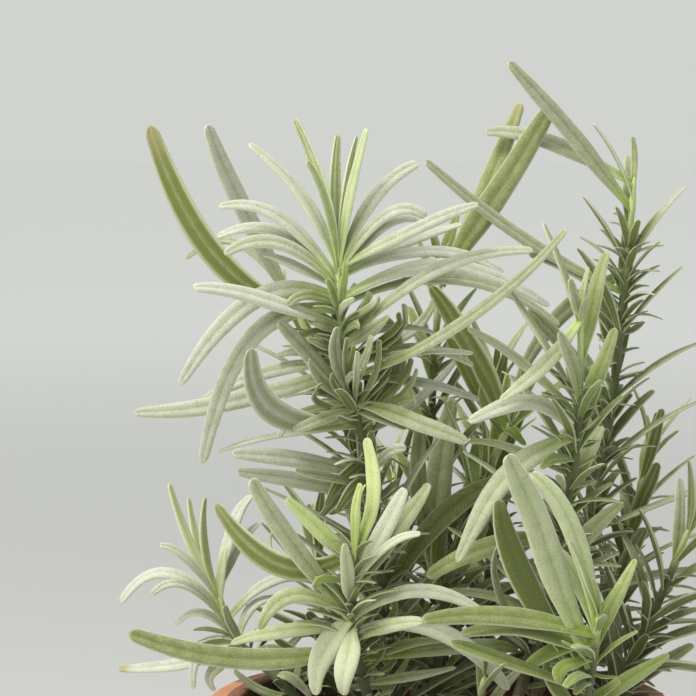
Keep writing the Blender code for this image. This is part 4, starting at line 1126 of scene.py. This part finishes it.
# The leaves and stems. A leaf is a narrow felted blade with full shoulders and margins that roll
# under. Beneath, the midrib stands out between two channels. The square young stems are downy too.
LEAF_SEED = 100
BLADE_STATIONS = (15, 5)
SMALL_STATIONS = (5, 3)
SMALL_WIDTH = 2.45
HALF_SECTION = np.array([
    # Across and lift, then how much of the point is rim, under side and midline.
    (0.00, 0.09, 0.0, 0.0, 1.0), (0.20, 0.21, 0.0, 0.0, 0.3), (0.52, 0.34, 0.0, 0.0, 0.0),
    (0.84, 0.16, 0.42, 0.0, 0.0), (1.00, -0.14, 1.0, 0.3, 0.0), (0.91, -0.42, 1.0, 1.0, 0.0),
    (0.68, -0.36, 0.5, 1.0, 0.0), (0.40, -0.06, 0.0, 1.0, 0.0), (0.15, -0.16, 0.0, 1.0, 0.5),
    (0.00, -0.40, 0.0, 1.0, 1.0)])
MIRROR = np.array([-1.0, 1.0, 1.0, 1.0, 1.0])
BLADE_SECTION = np.vstack([HALF_SECTION, HALF_SECTION[-2:0:-1] * MIRROR])

# A blade's half width at its root and at the start of its rounded tip, as shares of the widest, and
# between which shares of its length it is widest. The tip's length is in half widths.
ROOT_SHARE = 0.48
TIP_SHARES = (0.48, 0.66)
SMALL_BLUNTER = 0.1
WIDEST_FROM = 0.44
WIDEST_TO = 0.52
TIP_LENGTH = 0.8
TIP_END = 0.97
TIP_RIM = 0.6
TIP_RIM_ROWS = 3

# How many degrees it twists, how far it waves sideways and ripples in width, as shares of its half
# width, and its thickness: a share of its half width, and a little more but at its narrow ends.
TWIST_DRAW = 10.0
TWIST_ABOUT = 0.3
WAVE = 0.10
WAVE_FROM = 0.3
WAVE_PACES = (4, 9)
RIPPLE = 0.035
RIPPLE_PACE = 1.7
THICKNESS = (0.46, 0.26)

# A stem is a little slimmer than its solid, swells at the leaves and closes to a point. Shares of its
# length say how its wood fades, where it is young, and where the painted shade of the crowd ends.
STEM_SLIMMER = 0.94
STEM_TOP_RADIUS = 0.7
STEM_BLUNTNESS = 40
STEM_THINNEST = 0.05
STEM_POINTS = 12
STEM_STEP = 1.2
SQUARENESS = 0.10
NODE_SWELL = 0.28
NODE_REACH = 0.9
NODES_FROM = 4.0
WOOD_FADE = (1.5, 3.2)
YOUNG_TOP = (0.86, 0.1)
YOUNG_NODES = 0.5
YOUNG_NODES_FROM = 0.4
SHADE_END = (0.8, 0.12)

# Colours of the leaf's skin, its felt, its margins and under side, then of the stem. Light sinks a
# little way into a leaf, and the down scatters it where the surface turns away.
LEAF_GREEN = (0.115, 0.142, 0.032)
LEAF_YOUNG = (0.30, 0.43, 0.035)
FELT = (0.57, 0.58, 0.485)
FELT_OLD = (0.50, 0.535, 0.28)
FELT_YOUNG = (0.62, 0.73, 0.22)
RIM_WHITE = (0.80, 0.81, 0.60)
UNDER_OLIVE = (0.20, 0.235, 0.055)
DRY_TIP = (0.36, 0.335, 0.16)
STEM_WOOD = (0.22, 0.155, 0.085)
STEM_BARK = (0.40, 0.31, 0.19)
STEM_GREEN = (0.15, 0.19, 0.05)
STEM_FELT = (0.36, 0.42, 0.20)
STEM_YOUNG = (0.56, 0.64, 0.27)
# The stem's painted shade where leaves crowd round it.
STEM_SHADE = (0.06, 0.075, 0.02)
LEAF_SKIN = {"Subsurface Weight": 0.2, "Subsurface Radius": (0.6, 0.8, 0.25), "Subsurface Scale": 0.001,
             "Sheen Weight": 0.35, "Sheen Roughness": 0.5, "Specular IOR Level": 0.25}
STEM_SKIN = {"Sheen Weight": 0.3}

# Where leaves crowd, painted shade darkens them, taking paleness from their felt, and darkens the stem.
# The crowd is counted in cubes, with spare empty ones outside, and grows from none to full between
# these numbers of straight lengths in a cube and those that touch it.
CUBE = 5.0
SPARE_CUBES = 2
CROWD = (10.0, 70.0)
CROWD_PAINTED_SHADE = 0.40
STEM_PAINTED_SHADE = 0.8

# How pale the felt makes each shoot's leaves.
PALENESS = {
    "shoot_middle": 0.52, "shoot_front": 0.50, "shoot_right": 0.42, "shoot_behind": 0.30,
    "shoot_left_low": 0.74, "shoot_right_near": 0.36, "shoot_left_tall": 0.34, "shoot_right_tall": 0.42,
    "shoot_inner": 0.16, "shoot_back_left": 0.40, "shoot_back_middle": 0.36, "shoot_back": 0.40,
    "shoot_back_right": 0.40, "shoot_right_low": 0.42, "shoot_front_low": 0.40,
}

# How much paleness is lost at the foot of a shoot, gained by small leaves and drawn for each leaf, and
# how much of the painted shade of the crowd the leaves seen in front take.
PALE_FOOT = 0.12
PALE_SMALL = 0.06
PALE_DRAW = 0.12
PLACED_SHADE = 0.35

# How much yellow-green shows at each shoot's top and all over it, from which share of its height and
# how upright a leaf has to stand, and how much shows at the roots of high leaves and in small ones.
YOUTH = {"shoot_front": 1.0, "shoot_middle": 0.42, "shoot_left_low": 0.5}
YOUTH_ELSEWHERE = 0.2
FRESHNESS = {"shoot_front": 0.2, "shoot_right_near": 0.3, "shoot_inner": 0.3, "shoot_right": 0.15,
             "shoot_behind": 0.1}
YOUNG_HEIGHT = (0.72, 0.28)
YOUNG_UPRIGHT = (0.78, 0.2)
YOUNG_ROOT = 0.9
YOUNG_ROOT_FADE = 7
YOUNG_SMALL = 0.1

# Some leaves are dry at the tip, fewer of them higher up: their share, over which share of the shoot
# it falls to none, how dry they are, and where along them it starts.
DRY_SHARE = 0.22
DRY_UP_TO = 1.1
DRY_DRAW = (0.3, 1.0)
DRY_FROM = (0.84, 0.14)

# Leaves unlike the rest of their shoot, by their row in LEAVES: how pale, young and dry at the tip.
# Their paleness is partly the leaf's own tone and partly painted light and shade.
ODD_LEAVES = {
    "shoot_middle": {14: (0.72, 0, 0), 15: (0.50, 0, 0), 16: (0.66, 0, 0), 17: (0.62, 0, 0),
                     22: (0.38, 0, 0), 28: (0.54, 0, 0), 49: (0.20, 0, 0)},
    "shoot_front": {0: (0.86, 0.65, 0), 1: (0.66, 0.85, 0), 2: (0.85, 0.3, 0), 3: (0.50, 0.15, 0),
                    4: (0.58, 0.6, 0), 5: (0.24, 0.1, 0.6), 8: (0.20, 0, 0), 9: (0.90, 0.25, 0),
                    10: (0.74, 0.25, 0), 11: (0.66, 0.1, 0), 12: (0.74, 0.1, 0), 16: (0.78, 0.1, 0),
                    18: (0.74, 0.15, 0)},
    "shoot_left_tall": {0: (0.12, 0, 0.9), 1: (0.56, 0, 0)},
    "shoot_behind": {0: (0.20, 0, 0), 1: (0.28, 0.1, 0.9)},
    "shoot_right_near": {0: (0.56, 0.3, 0), 1: (0.56, 0.3, 0), 2: (-0.25, 0, 0.3), 4: (0.18, 0.05, 0),
                         5: (0.18, 0.05, 0)},
    "shoot_right": {0: (0.62, 0.05, 0)},
    "shoot_inner": {2: (0.40, 0.1, 0), 3: (0.34, 0.1, 0)},
}


middles = np.concatenate([(lengths[0] + lengths[1]) / 2 for lengths in grown["lengths"]])
corner = middles.min(0) - SPARE_CUBES * CUBE
cubes = ((middles.max(0) - corner) / CUBE).astype(int) + 1 + SPARE_CUBES
counts, _ = np.histogramdd(middles, bins=cubes, range=list(zip(corner, corner + cubes * CUBE)))
for axis in range(3):
    counts = counts + np.roll(counts, 1, axis) + np.roll(counts, -1, axis)
crowds = smooth((counts - CROWD[0]) / (CROWD[1] - CROWD[0]))


def crowd_at(points):
    """How crowded the leaves are round each point, 0 to 1, blended from the eight nearest cubes."""
    place = np.clip((points - corner) / CUBE - 0.5, 0, cubes - 1)
    low = place.astype(int)
    found = 0.0
    for step in np.ndindex(2, 2, 2):
        share = np.abs(1 - np.array(step) - (place - low)).prod(-1)
        x, y, z = np.moveaxis(np.minimum(low + step, cubes - 1), -1, 0)
        found = found + share * crowds[x, y, z]
    return found


def of_each(group, key):
    """One value of each leaf of a group, in a column."""
    return np.array([leaf[key] for leaf in group])[:, None]


def blade_outline(half, length, stations, tip_stations, draw):
    """Shares along many blades, and the half width at each as a share of the widest.

    The half width grows by a smooth step from the root's share to one, shrinks again by the square of
    the way past the widest, and ends in half an ellipse.
    """
    tip = TIP_LENGTH * half / length
    v = np.linspace(0, 1, stations)
    swing = np.linspace(0, math.pi / 2, tip_stations + 1)[1:] * TIP_END
    blunt = draw.uniform(*TIP_SHARES, (len(half), 1)) + SMALL_BLUNTER * (half < SMALL_WIDTH / 2)
    widening = ROOT_SHARE + (1 - ROOT_SHARE) * smooth(v / WIDEST_FROM)
    blade = widening * (1 - (1 - blunt) * (np.maximum(v - WIDEST_TO, 0) / (1 - WIDEST_TO)) ** 2)
    t = np.hstack([(1 - tip) * v, 1 - tip + tip * np.sin(swing)])
    return t, np.hstack([blade, blunt * np.cos(swing)])


def blade_points(points, up, half, t, share, section, draw):
    """Points of many blades.

    A point is the parabola at the share t, plus the half width times the section's first number
    sideways, plus the thickness times its second number out of the upper face. The blade twists
    evenly round its line, waves to its sides by a sine, and its half width ripples by another.
    """
    _, side, face = axes(points, up, t)
    twist = np.radians(draw.uniform(-TWIST_DRAW, TWIST_DRAW, (len(half), 1))) * (t - TWIST_ABOUT)
    cos, sin = np.cos(twist)[..., None], np.sin(twist)[..., None]
    side, face = cos * side + sin * face, cos * face - sin * side
    phase, pace = draw.uniform(0, 2 * math.pi, (len(half), 1)), draw.uniform(*WAVE_PACES, (len(half), 1))
    wave = WAVE * half * np.sin(pace * t + phase) * smooth(t / WAVE_FROM)
    half = half * share * (1 + RIPPLE * np.sin(pace * RIPPLE_PACE * t + phase))
    thick = THICKNESS[0] * half + THICKNESS[1] * share
    across = half[..., None] * section[:, 0] + wave[..., None]
    lift = thick[..., None] * section[:, 1]
    line = bend(points, t)[:, :, None]
    return line + across[..., None] * side[:, :, None] + lift[..., None] * face[:, :, None]


def blade_marks(group, points, t, stations, section):
    """Two vectors a point for the material: how much it is rim, under side and midline, then how pale, less
    the painted shade, young and dry it is. The rounded tip is all partly rim. Crowded stretches are made
    less pale as painted shade, the roots of high leaves are young, and the dryness comes in towards the
    tip."""
    rows, ring = t.shape[1], len(section)
    zone = np.broadcast_to(section[:, 2:], (len(group), rows, ring, 3)).copy()
    tip_rim = TIP_RIM * smooth((np.arange(rows) - stations + 0.5) / TIP_RIM_ROWS)[:, None]
    zone[..., 0] = np.maximum(zone[..., 0], tip_rim)
    # Painted shade: paleness taken away where leaves crowd, less for the leaves placed in front.
    crowd = CROWD_PAINTED_SHADE * of_each(group, "shaded") * crowd_at(bend(points, t))
    tone = np.empty((len(group), rows, ring, 3))
    tone[..., 0] = (of_each(group, "pale") - crowd)[..., None]
    young_root = YOUNG_ROOT * (1 - t) ** YOUNG_ROOT_FADE * of_each(group, "high")
    tone[..., 1] = (of_each(group, "young") + young_root)[..., None]
    tone[..., 2] = (of_each(group, "dry") * smooth((t - DRY_FROM[0]) / DRY_FROM[1]))[..., None]
    return zone.reshape(-1, 3), tone.reshape(-1, 3)


def leaf_surfaces(group, stations, tip_stations, section, draw):
    """Points, faces and the material's two vectors of many leaves at once, closed at both ends."""
    count, rows, ring = len(group), stations + tip_stations, len(section)
    points, up = (np.array([leaf[key] for leaf in group]) for key in ("points", "up"))
    half = of_each(group, "width") / 2
    length = np.linalg.norm(points[:, 2] - points[:, 0], axis=1)[:, None]
    t, share = blade_outline(half, length, stations, tip_stations, draw)
    surface = blade_points(points, up, half, t, share, section, draw)
    start = (np.arange(count) * rows * ring)[:, None, None]
    sides = (grid_faces(rows, ring, wrap=True)[:, ::-1] + start).reshape(-1, 4)
    roots = np.arange(ring) + start[:, 0]
    tips = roots[:, ::-1] + (rows - 1) * ring
    return surface.reshape(-1, 3), [sides, roots, tips], *blade_marks(group, points, t, stations, section)


def stem_rings(stem, nodes):
    """Rings of points up a stem, the middle and the share of the way of each, and its swelling.

    A ring is a square with rounded corners, the radius times 1 + k cos 4a. The radius shrinks evenly
    upwards, grows by a bell curve at each leaf's root, and closes over the last of the stem.
    """
    dense, heights = stem
    walked = np.concatenate([[0], np.cumsum(np.linalg.norm(np.diff(dense, axis=0), axis=1))])
    at = np.linspace(0, walked[-1], int(walked[-1] / STEM_STEP) + 2)
    line = np.column_stack([np.interp(at, walked, dense[:, k]) for k in range(3)])
    height = np.interp(at, walked, heights)
    along = unit(np.gradient(line, axis=0))
    side = unit(np.cross(along, [0.0, 1.0, 0.0]))
    other = np.cross(along, side)
    share = at / walked[-1]
    swell = np.exp(-((height[:, None] - np.array(nodes)) / NODE_REACH) ** 2).max(-1)
    swollen = 1 + NODE_SWELL * swell * (height > SOIL_HEIGHT + NODES_FROM)
    radius = (STEM_BASE_RADIUS + (STEM_TOP_RADIUS - STEM_BASE_RADIUS) * share) * STEM_SLIMMER
    radius = np.maximum(radius * swollen * (1 - share**STEM_BLUNTNESS) ** 0.5, STEM_THINNEST)
    a = np.linspace(0, 2 * math.pi, STEM_POINTS, endpoint=False)
    r = (radius[:, None] * (1 + SQUARENESS * np.cos(4 * a)))[..., None]
    points = line[:, None] + r * np.cos(a)[:, None] * side[:, None]
    points = points + r * np.sin(a)[:, None] * other[:, None]
    return points.reshape(-1, 3), line, share, swell


def stem_surface(stem, nodes):
    """A closed tube up a stem, with the material's two vectors: how much of each point is old wood and
    how much is young, then how much painted shade the crowd of leaves puts on it."""
    points, line, share, swell = stem_rings(stem, nodes)
    sides = grid_faces(len(line), STEM_POINTS, wrap=True)[:, ::-1]
    foot = np.arange(STEM_POINTS)[None]
    top = foot[:, ::-1] + STEM_POINTS * (len(line) - 1)
    wood = smooth(WOOD_FADE[0] - WOOD_FADE[1] * share)
    young = np.maximum(smooth((share - YOUNG_TOP[0]) / YOUNG_TOP[1]),
                       YOUNG_NODES * swell * (share > YOUNG_NODES_FROM))
    # Painted shade where leaves crowd, fading out towards the top.
    crowd = crowd_at(line) * (1 - smooth((share - SHADE_END[0]) / SHADE_END[1]))
    zone, tone = (np.repeat(np.column_stack([first, second, 0 * share]), STEM_POINTS, axis=0)
                  for first, second in ((wood, young), (crowd, 0 * share)))
    return points, [sides, foot, top], zone, tone


def felted_leaf():
    """Green skin under white felt. The felt is thick on the rolled margins and the midrib beneath, thin
    in the channels, and worn through in specks. Young leaves show yellow-green through it."""
    leaf = Finish("lavender leaf", 0.85)
    rim, under, mid = leaf.attribute("leaf_zone")
    # The first part of the tone is the paleness less the painted shade where leaves crowd.
    pale, young, dry = leaf.attribute("leaf_tone")
    grain = leaf.noise(0.26, detail=2.0, rough=0.65)
    blot = leaf.noise(2.6, detail=3.0)
    spots = leaf.between(leaf.dots(0.66), 0.30, 0.12)
    above = leaf.total((under, -1.0), 1.0)
    felt = leaf.total(pale, (leaf.product(mid, above), -0.18), (leaf.product(mid, under), 0.34),
                      (under, -0.22), (blot, 0.32), (grain, 0.8), -0.54)
    flecks = leaf.product(spots, leaf.total((pale, -0.8), 0.25))
    green = leaf.blend(young, LEAF_GREEN, LEAF_YOUNG)
    green = leaf.blend(leaf.product(under, 0.8), green, UNDER_OLIVE)
    white = leaf.blend(leaf.between(pale, 0.15, 0.6), FELT_OLD, FELT)
    white = leaf.blend(young, white, FELT_YOUNG)
    base = leaf.blend(leaf.between(leaf.total(felt, flecks), -0.12, 0.88), green, white)
    base = leaf.blend(leaf.product(leaf.between(rim, 0.35, 1.0), 0.55), base, RIM_WHITE)
    leaf.colour(leaf.blend(dry, base, DRY_TIP))
    leaf.relief(leaf.total((grain, 0.7), (blot, 0.5), (spots, -0.25)), 0.12, 0.8)
    leaf.evenly(LEAF_SKIN)
    return leaf


def downy_stem():
    """Brown wood at the foot of the stem, and felted green above it, paler at the top and the leaves, and
    darkened by painted shade where leaves crowd round it."""
    stem = Finish("lavender stem", 0.88)
    age, young, _ = stem.attribute("leaf_zone")
    crowd = stem.attribute("leaf_tone")[0]
    speck = stem.noise(0.35, detail=2.0, rough=0.6)
    bark = stem.noise(0.8, detail=4.0, stretch=(1.0, 1.0, 0.2))
    green = stem.blend(stem.between(speck, 0.35, 0.65), STEM_GREEN, STEM_FELT)
    wood = stem.blend(stem.between(bark, 0.4, 0.62), STEM_WOOD, STEM_BARK)
    base = stem.blend(age, stem.blend(young, green, STEM_YOUNG), wood)
    # Painted shade: the stem is darkened where leaves crowd round it.
    stem.colour(stem.blend(stem.product(crowd, STEM_PAINTED_SHADE), base, STEM_SHADE))
    stem.relief(stem.total(speck, (bark, 0.8)), 0.2)
    stem.evenly(STEM_SKIN)
    return stem


def tone_leaf(leaf, number, name, stem, draw):
    """Sets how pale, how young and how dry at its tip a leaf is, how much of the crowd's painted shade it
    takes, and how high on its stem it stands. Leaves are less pale low on the stem, and young only where
    they still stand close along its top."""
    share = min((leaf["height"] - SOIL_HEIGHT) / (stem[1][-1] - SOIL_HEIGHT), 1.0)
    _, rise = on_stem(stem, leaf["height"])
    upright = unit(leaf["points"][2] - leaf["points"][0]) @ rise
    small = leaf["width"] < SMALL_WIDTH
    leaf["high"] = share
    leaf["shaded"] = PLACED_SHADE if number < len(LEAVES.get(name, ())) else 1.0
    leaf["pale"] = PALENESS[name] - PALE_FOOT * (1 - share) + PALE_SMALL * small
    leaf["pale"] += draw.uniform(-PALE_DRAW, PALE_DRAW)
    top = smooth((share - YOUNG_HEIGHT[0]) / YOUNG_HEIGHT[1])
    close = smooth((upright - YOUNG_UPRIGHT[0]) / YOUNG_UPRIGHT[1])
    leaf["young"] = YOUTH.get(name, YOUTH_ELSEWHERE) * float(top * close)
    leaf["young"] = max(leaf["young"] + YOUNG_SMALL * small * share, FRESHNESS.get(name, 0.0))
    leaf["dry"] = draw.uniform(*DRY_DRAW) if draw.uniform() < DRY_SHARE * (DRY_UP_TO - share) else 0.0
    if number in ODD_LEAVES.get(name, {}):
        leaf["pale"], leaf["young"], leaf["dry"] = ODD_LEAVES[name][number]


leaf_finish = felted_leaf()
stem_finish = downy_stem()
for number, (name, stem) in enumerate(stems.items()):
    draw = np.random.default_rng(LEAF_SEED + number)
    for k, leaf in enumerate(leaves[name]):
        tone_leaf(leaf, k, name, stem, draw)
    long = [leaf for leaf in leaves[name] if leaf["width"] >= SMALL_WIDTH]
    small = [leaf for leaf in leaves[name] if leaf["width"] < SMALL_WIDTH]
    parts = [leaf_surfaces(long, *BLADE_STATIONS, BLADE_SECTION, draw),
             leaf_surfaces(small, *SMALL_STATIONS, BLADE_SECTION[::2], draw),
             stem_surface(stem, [leaf["height"] for leaf in long])]
    starts = np.cumsum([0] + [len(part[0]) for part in parts])
    faces = [face for part, start in zip(parts, starts) for rows in part[1]
             for face in (rows + start).tolist()]
    piece = add_piece(name + "_grown", np.vstack([part[0] for part in parts]), faces,
                      [leaf_finish, stem_finish])
    slots = np.repeat([0, 0, 1], [sum(map(len, part[1])) for part in parts])
    piece.data.polygons.foreach_set("material_index", slots.astype(np.int32))
    for key, index in (("leaf_zone", 2), ("leaf_tone", 3)):
        values = np.vstack([part[index] for part in parts]).astype(np.float32)
        kept = piece.data.attributes.new(key, "FLOAT_VECTOR", "POINT")
        kept.data.foreach_set("vector", values.ravel())
    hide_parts(name)
    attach(piece, "root")


# The sizes of the solids and of the dressed plant.
boxes = {"solids": solids_box, "dressed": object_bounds()}
sizes = {key: [list(corner) for corner in box] for key, box in boxes.items()}
